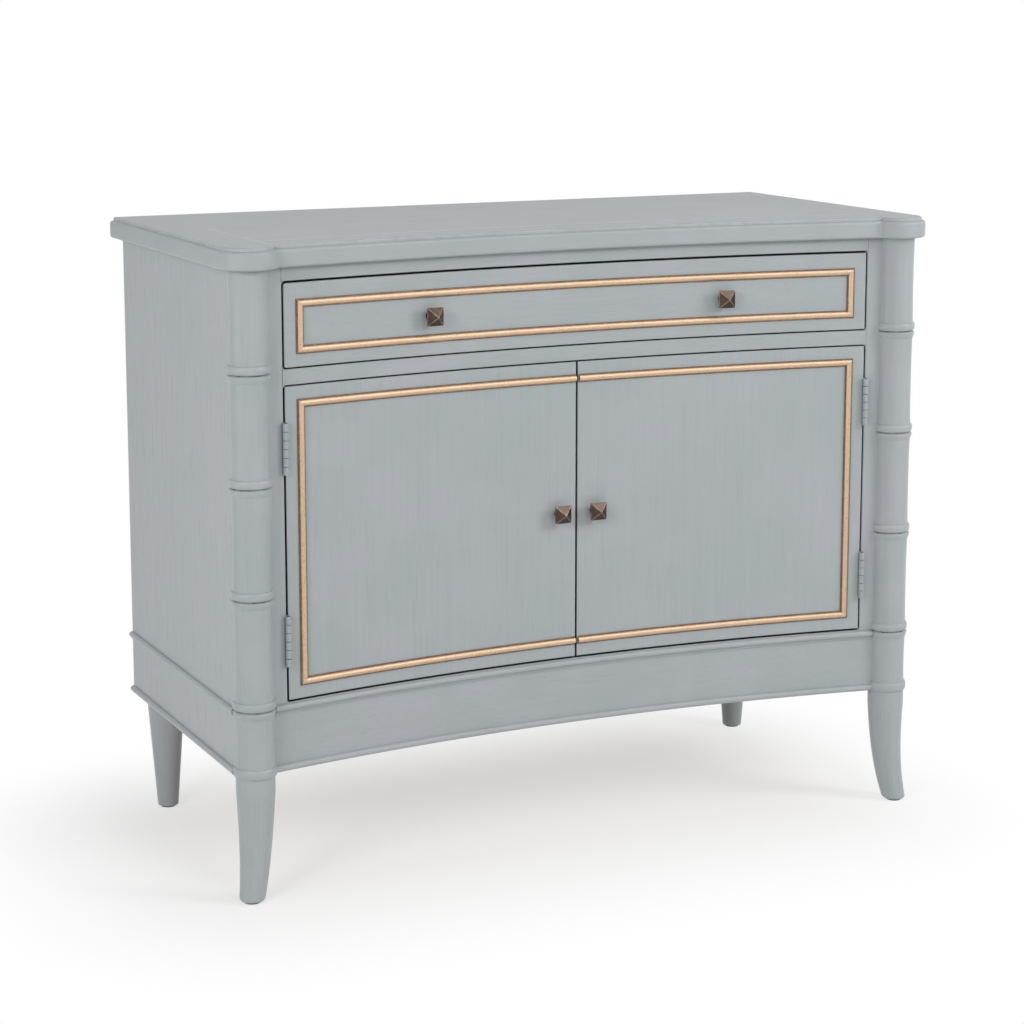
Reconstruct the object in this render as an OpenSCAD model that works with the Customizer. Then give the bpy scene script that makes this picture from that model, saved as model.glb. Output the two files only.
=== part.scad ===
// Painted side cabinet with a concave front: one wide drawer over two curved doors,
// corner columns turned like bamboo, sabre front legs and a moulded top.
// Origin: on the floor under the centre of the top. X to the right, Y to the back, Z up.

/* [Overall] */
// Width across the two ends of the top
top_w = 1082; // [940:2:1300]
// Depth from the rounded front corners of the top to its back edge
top_d = 513; // [440:1:600]
// Height from the floor to the face of the top
total_h = 880; // [800:1:960]

/* [Top] */
// Thickness of the main slab of the top
slab_t = 25; // [18:0.5:34]
// Height of the thin step on the slab
step_h = 5; // [3.5:0.25:8]
// How far the step is set in from the slab's edge
step_in = 5.5; // [5:0.25:10]
// Radius on the slab's upper and lower edges
slab_edge_r = 4.5; // [2:0.25:4.5]
// Radius on the step's edge
step_edge_r = 2.5; // [1:0.25:3]
// Radius of the rounded front corners, which are centred on the columns
ear_r = 41; // [36:0.5:48]
// How far the front edge stands in front of the drawer and the doors
top_front_over = 15; // [9:0.5:22]
// How far the back edge stands behind the side panels
top_back_over = 5.5; // [0:0.5:12]
// Width of the border along the front
border_front_w = 61.5; // [50:0.5:80]
// Width of the borders at the two ends
border_end_w = 73; // [62:0.5:100]
// Depth of the fine V line along each seam
seam_v = 0.8; // [0.4:0.1:1.5]

/* [Curved front] */
// How far the middle of the front lies behind its ends
bow = 49; // [35:1:60]
// How far the curve passes in front of the columns' centres
face_fwd = 7; // [4:0.5:10]
// Thickness of the doors, the drawer front, the rails and the stiles
front_t = 20; // [17:0.5:24]
// Width of the stiles, from their seats on the columns to the openings
stile_w = 23.5; // [16:0.5:60]
// Height of the apron under the doors
apron_h = 93.5; // [70:0.5:120]
// Height of the rail between the doors and the drawer
mid_rail_h = 21; // [16:0.5:30]
// Height of the drawer opening
drawer_open_h = 116.5; // [95:0.5:150]
// Height of the rail above the drawer
top_rail_h = 19; // [14:0.5:30]
// Gap round the doors and the drawer front
reveal = 3; // [2.5:0.25:4]
// Narrower gap above the doors and under the drawer front
reveal_small = 2; // [1:0.25:3]
// Bevel planed on the meeting edges of the doors, in degrees
meeting_bevel = 5; // [3:0.5:10]
// Small chamfer on the edges round the openings, the doors and the drawer front
ease = 0.8; // [0.4:0.1:1.5]
// Rounding of the drawer front's corners and of each door's two corners beside its hinges
corner_r = 3; // [1.5:0.5:5]

/* [Columns] */
// Radius of the columns between their rings
column_r = 26.5; // [22:0.5:30]
// How deep the stiles and the side panels are let into the columns
column_flat = 2.5; // [1.5:0.25:4]
// How far the side panels' front edges lie behind the columns' centres
panel_set_back = 10; // [8:0.5:14]
// Number of bamboo nodes on each column
node_count = 4; // [3:1:6]
// How far the lowest node lies below the apron's top, and the highest below the rail's
node_drop = 1.5; // [0:0.5:4]
// Height of the ring above each groove
ring_up_h = 11.5; // [8:0.5:15]
// Height of the ring below each groove
ring_low_h = 9.5; // [6:0.5:12]
// How far the rings stand out
ring_out = 2.5; // [1.5:0.25:3.5]
// Fine step at the far edge of each ring
ring_step = 0.5; // [0.2:0.1:1]
// Width of the groove between the two rings
groove_w = 1.4; // [0.8:0.1:2.5]
// Depth of the groove below the column
groove_d = 0.6; // [0.2:0.1:1.5]
// How much each segment swells towards its nodes
node_flare = 0.7; // [0:0.1:1.5]
// Height of the single ring at the foot of the column
base_ring_h = 13.5; // [10:0.5:18]

/* [Beads] */
// Height of the half-round bead, without its fillet
bead_h = 9.5; // [7:0.5:12]
// How far the beads stand out
bead_out = 5.5; // [3.5:0.25:7]
// Height of the fillet under the upper beads
fillet_h = 2.5; // [1:0.25:4]
// How far that fillet stands out
fillet_out = 1.3; // [0.5:0.1:2.5]
// How far the upper beads lie below the apron's top
bead_drop = 1; // [0:0.25:3]

/* [Legs] */
// Height of the legs with their glides
leg_h = 171; // [130:1:210]
// Radius of a front leg at the floor
front_foot_r = 17.3; // [14:0.1:22]
// How far a front foot splays outwards, and as far forwards
splay = 12; // [0:0.5:20]
// Height at which the splay starts
splay_start = 165; // [110:1:165]
// Power of the splay's curve
splay_power = 2.8; // [2:0.1:3.5]
// Height down to which a front leg keeps the column's radius
front_taper_z = 150; // [110:1:160]
// Radius of a rear leg at its top
rear_leg_r = 28; // [20:0.5:30]
// Radius of a rear leg at the floor
rear_foot_r = 15.3; // [12:0.1:20]
// Radius on the bottom edge of the front feet
foot_round = 5; // [2:0.5:6]
// Radius on the bottom edge of the rear feet
rear_foot_round = 2; // [1:0.5:4]
// Radius of the glides
glide_r = 11; // [6:0.5:12]
// Height of the glides
glide_h = 2; // [1.5:0.5:6]
// Radius of the dowels that hold the legs
dowel_r = 9; // [6:0.5:11]
// Length of the dowels
dowel_l = 30; // [20:1:45]

/* [Carcass] */
// Thickness of the side panels, which is also the columns' seat for them
side_t = 20; // [15:0.5:24]
// Thickness of the back panel
back_t = 6; // [4:0.5:10]
// How far the back panel lies inside the side panels' back edges
back_in = 15; // [8:0.5:25]
// Side of the square rear posts
post_w = 34; // [30:1:44]
// Thickness of the two rear rails
rear_rail_t = 20; // [15:1:28]
// Height of the rail that carries the top at the back
rear_top_rail_h = 19; // [15:0.5:40]
// Thickness of the cabinet floor
floor_t = 18; // [12:0.5:24]
// Side of the cleats under the floor
cleat_w = 20; // [12:1:30]
// Thickness of the shelf
shelf_t = 18; // [12:0.5:24]
// Height of the shelf's upper face above the cabinet floor
shelf_up = 215; // [150:1:270]
// How far the shelf's front edge lies behind the columns' centres
shelf_set_back = 95; // [80:1:140]
// Gap between the shelf and the panels round it
shelf_gap = 1.5; // [0.5:0.25:3]
// Radius of the shelf pins
pin_r = 2.5; // [2:0.25:4]
// Spacing of the shelf-pin holes, up and down
pin_pitch = 32; // [25:1:40]
// Thickness of the dust panel under the drawer
dust_t = 6; // [4:0.5:9]

/* [Drawer] */
// Thickness of the drawer sides and the drawer back
drawer_side_t = 12; // [9:0.5:15]
// Thickness of the drawer bottom
drawer_bottom_t = 6; // [4:0.5:8]
// Height of the bottom's groove above the lower edge of the sides
drawer_groove_up = 10; // [7:0.5:16]
// Depth of the grooves that hold thin panels
groove_in = 6; // [4:0.5:7]
// Space between each drawer side and the edge of the opening
drawer_side_gap = 4.5; // [3.5:0.25:8]
// Space between the drawer and its runners
run_gap = 1; // [0.5:0.1:1.5]
// How far the drawer back stands in front of the rear posts
drawer_rear_gap = 12; // [8:1:30]
// How far the drawer back is lower than the sides
drawer_back_drop = 10; // [0:1:25]
// Height of the guides beside the drawer
guide_h = 20; // [12:1:30]
// Width of the guides and the kickers
guide_w = 16; // [12:1:24]

/* [Gilt trim] */
// Width of the trim
trim_w = 11.5; // [8:0.25:14]
// How far the trim stands out
trim_out = 5; // [3:0.25:5.5]
// Width of the flat fillet on each side of the trim's round
trim_fillet_w = 1.6; // [0.8:0.1:2.5]
// How far those fillets stand out
trim_fillet_out = 1.3; // [0.6:0.1:2]
// Space between the trim and the edges of a door, or the ends of the drawer front
trim_margin = 17.5; // [14:0.25:24]
// Height of the trim's rectangle on the drawer front
drawer_trim_h = 73; // [60:0.5:80]
// Height of that rectangle above the lower edge of the drawer front
drawer_trim_up = 17; // [12:0.5:20]
// Space between the door trims and the meeting edges
trim_end_gap = 1; // [0.5:0.25:3]

/* [Knobs] */
// Side of the square pyramid
knob_w = 25; // [20:0.5:30]
// How far the pyramid's rim stands in front of the face
knob_rim_out = 14.5; // [12:0.5:18]
// Whole projection of a knob
knob_out = 24; // [20:0.5:28]
// Thickness of the pyramid's square rim
knob_rim_t = 2; // [1:0.25:3]
// Radius of a knob's foot
knob_foot_r = 7.5; // [6:0.25:9]
// Radius of a knob's neck
knob_neck_r = 5; // [4:0.25:5.5]
// Distance of the drawer knobs from the middle
drawer_knob_x = 228; // [150:1:330]
// Distance of the door knobs from the middle
door_knob_x = 28; // [24:0.5:45]
// Height of the door knobs above the doors' lower edge
door_knob_up = 210.5; // [150:0.5:280]
// Radius of the screws that hold the knobs
screw_r = 2; // [1.5:0.1:2.5]

/* [Hinges] */
// Length of a hinge
hinge_l = 70; // [50:1:90]
// Distance of the hinges from the doors' ends
hinge_end = 47; // [30:1:70]
// Radius of the hinge knuckles
knuckle_r = 3.9; // [3.4:0.1:4]
// Number of knuckles in a hinge
knuckle_count = 6; // [4:1:8]
// How far the pins lie in front of the face
pin_fwd = 4.3; // [4.2:0.1:5]
// Radius of the hinge pins
hinge_pin_r = 1.95; // [1.5:0.05:2.2]
// Thickness of the leaves
leaf_t = 1.2; // [0.8:0.05:1.2]
// Width of the leaves behind the face
leaf_w = 16; // [12:0.5:16]

/* [Catches] */
// Length of a magnetic catch
catch_l = 42; // [30:1:60]
// Depth of a catch from front to back
catch_d = 15; // [10:0.5:24]
// Height of the strike plates
strike_h = 14; // [8:0.5:20]
// Thickness of the strike plates
strike_t = 1; // [0.6:0.1:1.6]
// Distance of the catches from the middle
catch_x = 40; // [34:1:120]

/* [Hidden] */

PAINT = [0.63, 0.67, 0.68];
WOOD = [0.78, 0.66, 0.48];
GILT = [0.76, 0.60, 0.38];
BRONZE = [0.28, 0.22, 0.19];
STEEL = [0.62, 0.62, 0.60];

// Clearances and fine steps
eps = 0.01;
cut = 1;
far = 2000;
dowel_clear = 0.1;
pin_clear = 0.05;
knuckle_clear = 0.4;
knuckle_slit = 0.7;
ring_clear = 0.5;
mitre_gap = 0.05;
glue_line = 0.02;
socket_extra = 2;
strike_gap = 0.5;
arc_fn = 720;
round_fn = 96;
small_fn = 48;

// Small fixed sizes: shelf pins, hinge screws, knobs and their screws
pin_front_in = 35;
pin_rear_in = 40;
pin_hole_l = 10;
seat_l = 12;
seat_w = 8;
leaf_screw_in = 0.6 * leaf_w;
strike_l = catch_l * 2 / 3;
knob_foot_t = 1.5;
knob_cove_h = 5;
knob_lip = 1;
screw_in_knob = 9;
screw_head_t = 2;

// Plan of the carcass
column_x = top_w / 2 - ear_r;
column_y = -top_d / 2 + ear_r;
side_x1 = column_x + column_r - column_flat;
side_x0 = side_x1 - side_t;
frame_x = column_x - column_r + column_flat;
open_x = frame_x - stile_w;
top_back_y = top_d / 2;
side_back_y = top_back_y - top_back_over;
side_front_y = column_y + panel_set_back;
back_y1 = side_back_y - back_in;
back_y0 = back_y1 - back_t;
post_x0 = side_x0 - post_w;
post_y0 = back_y0 - post_w;
rear_rail_y0 = back_y0 - rear_rail_t;
leg_x = side_x0 - post_w / 2;
leg_y = back_y0 - post_w / 2;

// Circle of the concave front, whose centre lies in front of the cabinet
bow_r = (column_x * column_x + bow * bow) / (2 * bow);
bow_cy = column_y - face_fwd - bow_r + bow;

// Heights
slab_z1 = total_h - step_h;
slab_z0 = slab_z1 - slab_t;
case_z0 = leg_h;
apron_z1 = case_z0 + apron_h;
drawer_z1 = slab_z0 - top_rail_h;
drawer_z0 = drawer_z1 - drawer_open_h;
mid_z0 = drawer_z0 - mid_rail_h;
door_z0 = apron_z1 + reveal;
door_z1 = mid_z0 - reveal_small;
front_z0 = drawer_z0 + reveal_small;
front_z1 = drawer_z1 - reveal;
upper_bead_z1 = apron_z1 - bead_drop;
upper_bead_z0 = upper_bead_z1 - bead_h;
shelf_z1 = apron_z1 + shelf_up;
shelf_z0 = shelf_z1 - shelf_t;
dust_z0 = mid_z0 + (mid_rail_h - dust_t) / 2;

// Doors, drawer and hinges
door_x0 = reveal / 2;
door_x1 = open_x - reveal;
hinge_x = open_x - reveal / 2;
hinge_y = face_y(hinge_x, 0) - pin_fwd;
hinge_z = [door_z0 + hinge_end, door_z1 - hinge_end - hinge_l];
bore_r = hinge_pin_r + pin_clear;
box_x1 = open_x - drawer_side_gap;
box_x0 = box_x1 - drawer_side_t;
box_z0 = drawer_z0 + run_gap;
box_z1 = front_z1 - ease;
box_back_y = post_y0 - drawer_rear_gap;
bottom_z0 = box_z0 + drawer_groove_up;
runner_x0 = box_x0 - groove_in;
drawer_trim_z0 = front_z0 + drawer_trim_up;

door_knob_z = door_z0 + door_knob_up;
drawer_knob_z = drawer_trim_z0 + drawer_trim_h / 2;
drawer_front_x = open_x - reveal;
pin_y = [column_y + shelf_set_back + pin_front_in, post_y0 - pin_rear_in];

// Largest radius of a column, at its rings, and where the floor's cleats start behind it
ring_r = column_r + ring_step + ring_out;
cleat_y0 = column_y + ring_r + ring_clear;

// Depth of the curved front's face at x, or of a surface that lies behind it
function face_y(x, behind) = bow_cy + sqrt(pow(bow_r + behind, 2) - x * x);

// Angle by which the curved front turns away at x
function face_angle(x) = asin(x / bow_r);

function arc(cx, cy, r, a0, a1, n) =
    [for (i = [0:n]) let (a = a0 + (a1 - a0) * i / n) [cx + r * cos(a), cy + r * sin(a)]];

// Edge of the top as [distance inwards from the slab's edge, height], closed at the given depth
// with a chamfer of v on its upper corner
function top_edge(depth, v) = concat(
    [[depth, slab_z0]],
    arc(slab_edge_r, slab_z0 + slab_edge_r, slab_edge_r, 270, 180, 6),
    arc(slab_edge_r, slab_z1 - slab_edge_r, slab_edge_r, 180, 90, 6),
    [[step_in, slab_z1]],
    arc(step_in + step_edge_r, total_h - step_edge_r, step_edge_r, 180, 90, 5),
    v > 0 ? [[depth - v, total_h], [depth, total_h - v]] : [[depth, total_h]]
);

// Section of a front board as [depth behind the face, height], with an eased lower and upper edge
function board(z0, z1, e0, e1) =
    [[front_t, z0], [e0, z0], [0, z0 + e0], [0, z1 - e1], [e1, z1], [front_t, z1]];

// Half-round bead with a fillet under it, as [distance in front of the face, height]
function bead(z0, h, fillet) = concat(
    [[0, z0 - fillet], [fillet > 0 ? fillet_out : 0, z0 - fillet], [fillet > 0 ? fillet_out : 0, z0]],
    [for (i = [1:11]) let (a = 180 * i / 12) [bead_out * sin(a), z0 + h * (1 - cos(a)) / 2]],
    [[0, z0 + h]]
);

// Gilt trim as [across, outwards], centred on its middle
function astragal() = let (h = trim_w / 2, w = h - trim_fillet_w) concat(
    [[-h, 0], [-h, trim_fillet_out], [-w, trim_fillet_out]],
    [for (i = [1:11]) let (a = 180 - 180 * i / 12)
        [w * cos(a), trim_fillet_out + (trim_out - trim_fillet_out) * sin(a)]],
    [[w, trim_fillet_out], [h, trim_fillet_out], [h, 0]]
);

// Outline of a column from its foot ring to the underside of the top, as [radius, height]
node_z0 = apron_z1 - node_drop;
node_pitch = (drawer_z0 - apron_z1) / (node_count - 1);
function node_z(i) = node_z0 + node_pitch * i;
function round_ring(z0, h) =
    [for (i = [0:8]) let (a = 180 * i / 8)
        [column_r + ring_step + ring_out * sin(a), z0 + h * (1 - cos(a)) / 2]];
function bell_ring(z0, h) =
    [for (i = [0:6]) let (a = 90 * i / 6) [column_r + ring_step + (ring_out - ring_step) * sin(a), z0 + h * i / 7]];
function bamboo_node(z) = concat(
    [[column_r, z - groove_w / 2 - ring_low_h]],
    bell_ring(z - groove_w / 2 - ring_low_h, ring_low_h),
    [[column_r + ring_step, z - groove_w / 2], [column_r - groove_d, z], [column_r + ring_step, z + groove_w / 2]],
    [for (p = round_ring(z + groove_w / 2, ring_up_h)) if (p[1] > z + groove_w / 2) p],
    [[column_r, z + groove_w / 2 + ring_up_h]]
);
function segment(z0, z1) =
    [for (i = [1:9]) let (t = i / 10)
        [column_r - node_flare * (1 - pow(abs(2 * t - 1), 2.5)), z0 + (z1 - z0) * t]];
function node_foot(i) = node_z(i) - groove_w / 2 - ring_low_h;
function node_head(i) = node_z(i) + groove_w / 2 + ring_up_h;
function column_outline() = concat(
    [[0, case_z0], [column_r, case_z0]],
    round_ring(case_z0, base_ring_h),
    [[column_r, case_z0 + base_ring_h]],
    segment(case_z0 + base_ring_h, node_foot(0)),
    [for (i = [0:node_count - 1]) each concat(
        bamboo_node(node_z(i)),
        segment(node_head(i), i < node_count - 1 ? node_foot(i + 1) : slab_z0))],
    [[column_r, slab_z0], [0, slab_z0]]
);

// Sweeps a [depth behind the face, height] section along the concave front between x0 and x1
module along_front(x0, x1) {
    reach = max(abs(x0), abs(x1));
    half = face_angle(reach) + 1;
    intersection() {
        translate([0, bow_cy, 0]) rotate([0, 0, 90 - half])
            rotate_extrude(angle = 2 * half, $fn = arc_fn) translate([bow_r, 0]) children();
        translate([x0, column_y - far / 8, -cut]) cube([x1 - x0, far / 2, total_h + 2 * cut]);
    }
}

// Everything in front of the surface that lies a given depth behind the front's face
module front_side(behind) {
    translate([0, bow_cy, -cut]) cylinder(r = bow_r + behind, h = total_h + 2 * cut, $fn = arc_fn);
}

// Puts its children on the front's face at x, with their Y axis pointing into the cabinet
module on_front(x, z) {
    translate([x, face_y(x, 0), z]) rotate([0, 0, -face_angle(x)]) children();
}

// Chamfers an upright edge of the front's face
module ease_upright(x, z0, z1) {
    side = ease * sqrt(2);
    translate([x, face_y(x, 0), z0 - cut]) rotate([0, 0, 45])
        translate([-side / 2, -side / 2, 0]) cube([side, side, z1 - z0 + 2 * cut]);
}

// Waste outside a rounded corner of a front board: corner at x, z, with the board towards -dx, -dz
module corner_waste(x, z, dx, dz) {
    side = corner_r + cut;
    translate([x - dx * corner_r, face_y(x, 0) + 2 * front_t, z - dz * corner_r]) rotate([90, 0, 0])
        difference() {
            translate([dx > 0 ? 0 : -side, dz > 0 ? 0 : -side, 0]) cube([side, side, 3 * front_t]);
            translate([0, 0, -cut]) cylinder(r = corner_r, h = 3 * front_t + 2 * cut, $fn = small_fn);
        }
}

module mirrored(on = true) {
    if (on) mirror([1, 0, 0]) children();
    else children();
}

// Plan positions of the seams between the field and its borders
end_seam_x = top_w / 2 - border_end_w;
front_seam = border_front_w - top_front_over;
seam_corner_y = face_y(end_seam_x, front_seam);
field_half = face_angle(column_x);

// Where the rounded corner's edge meets the concave edge, both set in by the same amount
function crease(in) =
    let (r1 = ear_r - in, r2 = bow_r - top_front_over + in,
        dx = column_x, dy = column_y - bow_cy, d = sqrt(dx * dx + dy * dy),
        a = (r2 * r2 - r1 * r1 + d * d) / (2 * d), h = sqrt(r2 * r2 - a * a))
    [(a * dx - h * dy) / d, bow_cy + (a * dy + h * dx) / d];
crease_in = crease(step_in + step_edge_r);
crease_out = 2 * crease(0) - crease_in;

// Plan of the right-hand end border: its joint follows the crease, then the end seam
module end_plan() {
    translate([0, 0, slab_z0 - cut]) linear_extrude(height = slab_t + step_h + 2 * cut)
        polygon([
            crease_in,
            crease_out,
            [crease_out[0], -top_d],
            [top_w, -top_d],
            [top_w, top_d],
            [end_seam_x, top_d],
            [end_seam_x, seam_corner_y]
        ]);
}

// Field panel: a straight board with chamfered ends, whose front follows the curve
module top_field_panel() color(PAINT)
    intersection() {
        translate([0, top_back_y, 0]) rotate([90, 0, 0]) linear_extrude(height = top_d)
            polygon([[-end_seam_x, slab_z0], [end_seam_x, slab_z0],
                [end_seam_x, total_h - seam_v], [end_seam_x - seam_v, total_h],
                [-end_seam_x + seam_v, total_h], [-end_seam_x, total_h - seam_v]]);
        translate([0, bow_cy, 0]) rotate([0, 0, 90 - field_half]) rotate_extrude(angle = 2 * field_half, $fn = arc_fn)
            polygon([
                [bow_r + front_seam, slab_z0 - cut],
                [bow_r + front_seam, total_h - seam_v],
                [bow_r + front_seam + seam_v + cut, total_h + cut],
                [bow_r + front_seam + 2 * top_d, total_h + cut],
                [bow_r + front_seam + 2 * top_d, slab_z0 - cut]
            ]);
    }

module top_front_border() color(PAINT)
    difference() {
        along_front(-column_x, column_x)
            polygon([for (p = top_edge(border_front_w, seam_v)) [p[0] - top_front_over, p[1]]]);
        for (side = [0, 1]) mirrored(side == 1) end_plan();
    }

// End border with the rounded front corner, whose edge is turned round the column's centre
module top_end(left) color(PAINT)
    mirrored(left) difference() {
        intersection() {
            union() {
                translate([column_x, column_y, 0]) rotate([0, 0, 180])
                    rotate_extrude(angle = 180, $fn = round_fn)
                        polygon([for (p = top_edge(ear_r, 0)) [ear_r - p[0], p[1]]]);
                translate([0, top_back_y, 0]) rotate([90, 0, 0])
                    linear_extrude(height = top_back_y - column_y)
                        polygon([for (p = top_edge(top_w / 2 - crease_out[0], 0)) [top_w / 2 - p[0], p[1]]]);
            }
            end_plan();
        }
        // Its half of the fine V line along the end seam
        translate([end_seam_x, top_d, 0]) rotate([90, 0, 0]) linear_extrude(height = top_d - seam_corner_y)
            polygon([[-2 * seam_v, total_h + seam_v], [0, total_h - seam_v], [2 * seam_v, total_h + seam_v]]);
    }

module corner_column(left) color(PAINT)
    mirrored(left) difference() {
        translate([column_x, column_y, 0]) rotate_extrude($fn = round_fn) polygon(column_outline());
        // Seat for the stile and the apron, in line with the front's face where they meet
        intersection() {
            on_front(frame_x, case_z0 - cut) translate([-2 * column_r, 0, 0])
                cube([4 * column_r, 4 * column_r, slab_z0 - case_z0 + 2 * cut]);
            translate([frame_x - column_r, column_y - column_r, case_z0 - cut])
                cube([column_r, 4 * column_r, slab_z0 - case_z0 + 2 * cut]);
        }
        // Seat for the side panel
        translate([side_x0, side_front_y, case_z0 - cut])
            cube([2 * column_r, 2 * column_r, slab_z0 - case_z0 + 2 * cut]);
        // Socket for the leg's dowel
        translate([column_x, column_y, case_z0 - cut])
            cylinder(r = dowel_r + dowel_clear, h = dowel_l + socket_extra + cut, $fn = small_fn);
    }

// Side panel with its two rows of shelf-pin holes
module side_panel(left) color(PAINT)
    mirrored(left) difference() {
        translate([side_x0, side_front_y, case_z0])
            cube([side_t, side_back_y - side_front_y, slab_z0 - case_z0]);
        for (y = pin_y, step = [-1:1])
            translate([side_x0 - cut, y, shelf_z0 - pin_r + step * pin_pitch]) rotate([0, 90, 0])
                cylinder(r = pin_r + dowel_clear, h = pin_hole_l + cut, $fn = small_fn);
    }

module back_panel() color(WOOD)
    translate([-side_x0, back_y0, apron_z1 - floor_t])
        cube([2 * side_x0, back_t, slab_z0 - apron_z1 + floor_t]);

module rear_post(left) color(PAINT)
    mirrored(left) difference() {
        translate([post_x0, post_y0, case_z0]) cube([post_w, post_w, slab_z0 - case_z0]);
        translate([leg_x, leg_y, case_z0 - cut])
            cylinder(r = dowel_r + dowel_clear, h = dowel_l + socket_extra + cut, $fn = small_fn);
    }

// Sabre leg: round sections that shift along the diagonal as they near the floor
leg_sides = 32;
function splay_at(z) = z < splay_start ? splay * pow(1 - z / splay_start, splay_power) : 0;
function leg_radius(z) = z > front_taper_z ? column_r : front_foot_r + (column_r - front_foot_r) * z / front_taper_z;
leg_stations = concat(
    [for (i = [0:5]) let (a = 90 * i / 6)
        [glide_h + foot_round * (1 - cos(a)), foot_round * (1 - sin(a))]],
    [for (i = [0:16]) [glide_h + foot_round + (leg_h - glide_h - foot_round) * i / 16, 0]]
);
module sabre_leg() {
    rings = len(leg_stations);
    points = [for (s = leg_stations, k = [0:leg_sides - 1])
        let (a = 360 * k / leg_sides, r = leg_radius(s[0]) - s[1], d = splay_at(s[0]))
        [d + r * cos(a), -d + r * sin(a), s[0]]];
    sides = [for (i = [0:rings - 2], k = [0:leg_sides - 1], half = [0, 1])
        let (a = i * leg_sides + k, b = i * leg_sides + (k + 1) % leg_sides)
        half == 0 ? [a, a + leg_sides, b] : [b, a + leg_sides, b + leg_sides]];
    polyhedron(
        points = points,
        faces = concat([[for (k = [0:leg_sides - 1]) k]], sides,
            [[for (k = [leg_sides - 1:-1:0]) (rings - 1) * leg_sides + k]])
    );
}

module front_leg(left) color(PAINT)
    mirrored(left) translate([column_x, column_y, 0]) {
        sabre_leg();
        translate([0, 0, leg_h - cut]) cylinder(r = dowel_r, h = dowel_l + cut, $fn = small_fn);
    }

module rear_leg(left) color(PAINT)
    mirrored(left) translate([leg_x, leg_y, 0]) rotate_extrude($fn = round_fn)
        polygon(concat(
            [[0, glide_h]],
            arc(rear_foot_r - rear_foot_round, glide_h + rear_foot_round, rear_foot_round, 270, 360, 6),
            [[rear_leg_r, leg_h], [dowel_r, leg_h], [dowel_r, leg_h + dowel_l], [0, leg_h + dowel_l]]
        ));

module foot_glides() color(BRONZE)
    for (side = [-1, 1]) {
        d = splay_at(glide_h);
        translate([side * (column_x + d), column_y - d, 0]) cylinder(r = glide_r, h = glide_h, $fn = small_fn);
        translate([side * leg_x, leg_y, 0]) cylinder(r = glide_r, h = glide_h, $fn = small_fn);
    }

module stile(left) color(PAINT)
    mirrored(left) difference() {
        along_front(open_x, frame_x) polygon(board(apron_z1, slab_z0, 0, 0));
        ease_upright(open_x, apron_z1, slab_z0);
    }

module top_rail() color(PAINT)
    along_front(-open_x, open_x) polygon(board(drawer_z1, slab_z0, ease, 0));

module middle_rail() color(PAINT)
    difference() {
        along_front(-open_x, open_x) polygon(board(mid_z0, drawer_z0, ease, ease));
        along_front(-runner_x0, runner_x0) translate([front_t - groove_in, dust_z0]) square([groove_in + cut, dust_t]);
    }

module front_apron() color(PAINT)
    along_front(-frame_x, frame_x) polygon(board(case_z0, apron_z1, 0, ease));

// Bead across the apron, coped round the rings of the columns
module apron_bead(z0, fillet) {
    difference() {
        along_front(-frame_x, frame_x) polygon([for (p = bead(z0, bead_h, fillet)) [-p[0], p[1]]]);
        for (side = [-1, 1]) translate([side * column_x, column_y, z0 - fillet - cut])
            cylinder(r = ring_r, h = bead_h + fillet + 2 * cut, $fn = round_fn);
    }
}
module apron_upper_bead() color(PAINT) apron_bead(upper_bead_z0, fillet_h);
module apron_lower_bead() color(PAINT) apron_bead(case_z0, 0);

module side_bead(z0, fillet) {
    translate([side_x1, side_back_y, 0]) rotate([90, 0, 0])
        linear_extrude(height = side_back_y - side_front_y) polygon(bead(z0, bead_h, fillet));
}
module side_beads(left) color(PAINT)
    mirrored(left) {
        side_bead(upper_bead_z0, fillet_h);
        side_bead(case_z0, 0);
    }

module rear_top_rail() color(WOOD)
    translate([-post_x0, rear_rail_y0, slab_z0 - rear_top_rail_h])
        cube([2 * post_x0, rear_rail_t, rear_top_rail_h]);

module rear_bottom_rail() color(PAINT)
    translate([-post_x0, rear_rail_y0, case_z0])
        cube([2 * post_x0, rear_rail_t, apron_z1 - floor_t - case_z0]);

// Removes the columns and the rear posts from a board that reaches all four corners
module clear_corners(z0, z1, gap) {
    for (side = [-1, 1]) {
        translate([side * column_x, column_y, z0 - cut])
            cylinder(r = ring_r + ring_clear, h = z1 - z0 + 2 * cut, $fn = round_fn);
        translate([side < 0 ? -far / 2 : post_x0 - gap, post_y0 - gap, z0 - cut])
            cube([far / 2 - post_x0 + gap, far / 2, z1 - z0 + 2 * cut]);
    }
}

module cabinet_floor() color(WOOD)
    difference() {
        translate([-side_x0, column_y, apron_z1 - floor_t]) cube([2 * side_x0, back_y0 - column_y, floor_t]);
        front_side(front_t + glue_line);
        clear_corners(apron_z1 - floor_t, apron_z1, 0);
    }

module floor_cleats() color(WOOD)
    for (x = [-side_x0, side_x0 - cleat_w])
        translate([x, cleat_y0, apron_z1 - floor_t - cleat_w]) cube([cleat_w, post_y0 - cleat_y0, cleat_w]);

module dust_panel() color(WOOD)
    difference() {
        translate([-runner_x0 - groove_in, column_y, dust_z0])
            cube([2 * (runner_x0 + groove_in), back_y0 - column_y, dust_t]);
        // The front edge stands in the rail's groove, but its corners stop at the runners
        difference() {
            front_side(front_t);
            along_front(-runner_x0, runner_x0)
                translate([front_t - groove_in, dust_z0 - cut]) square([groove_in + cut, dust_t + 2 * cut]);
        }
        for (x = [-runner_x0 - groove_in - cut, runner_x0])
            translate([x, post_y0, dust_z0 - cut]) cube([groove_in + cut, far / 2, dust_t + 2 * cut]);
    }

module shelf() color(WOOD)
    difference() {
        translate([-side_x0 + shelf_gap, column_y + shelf_set_back, shelf_z0])
            cube([2 * (side_x0 - shelf_gap), back_y0 - shelf_gap - column_y - shelf_set_back, shelf_t]);
        clear_corners(shelf_z0, shelf_z1, shelf_gap);
    }

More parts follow.
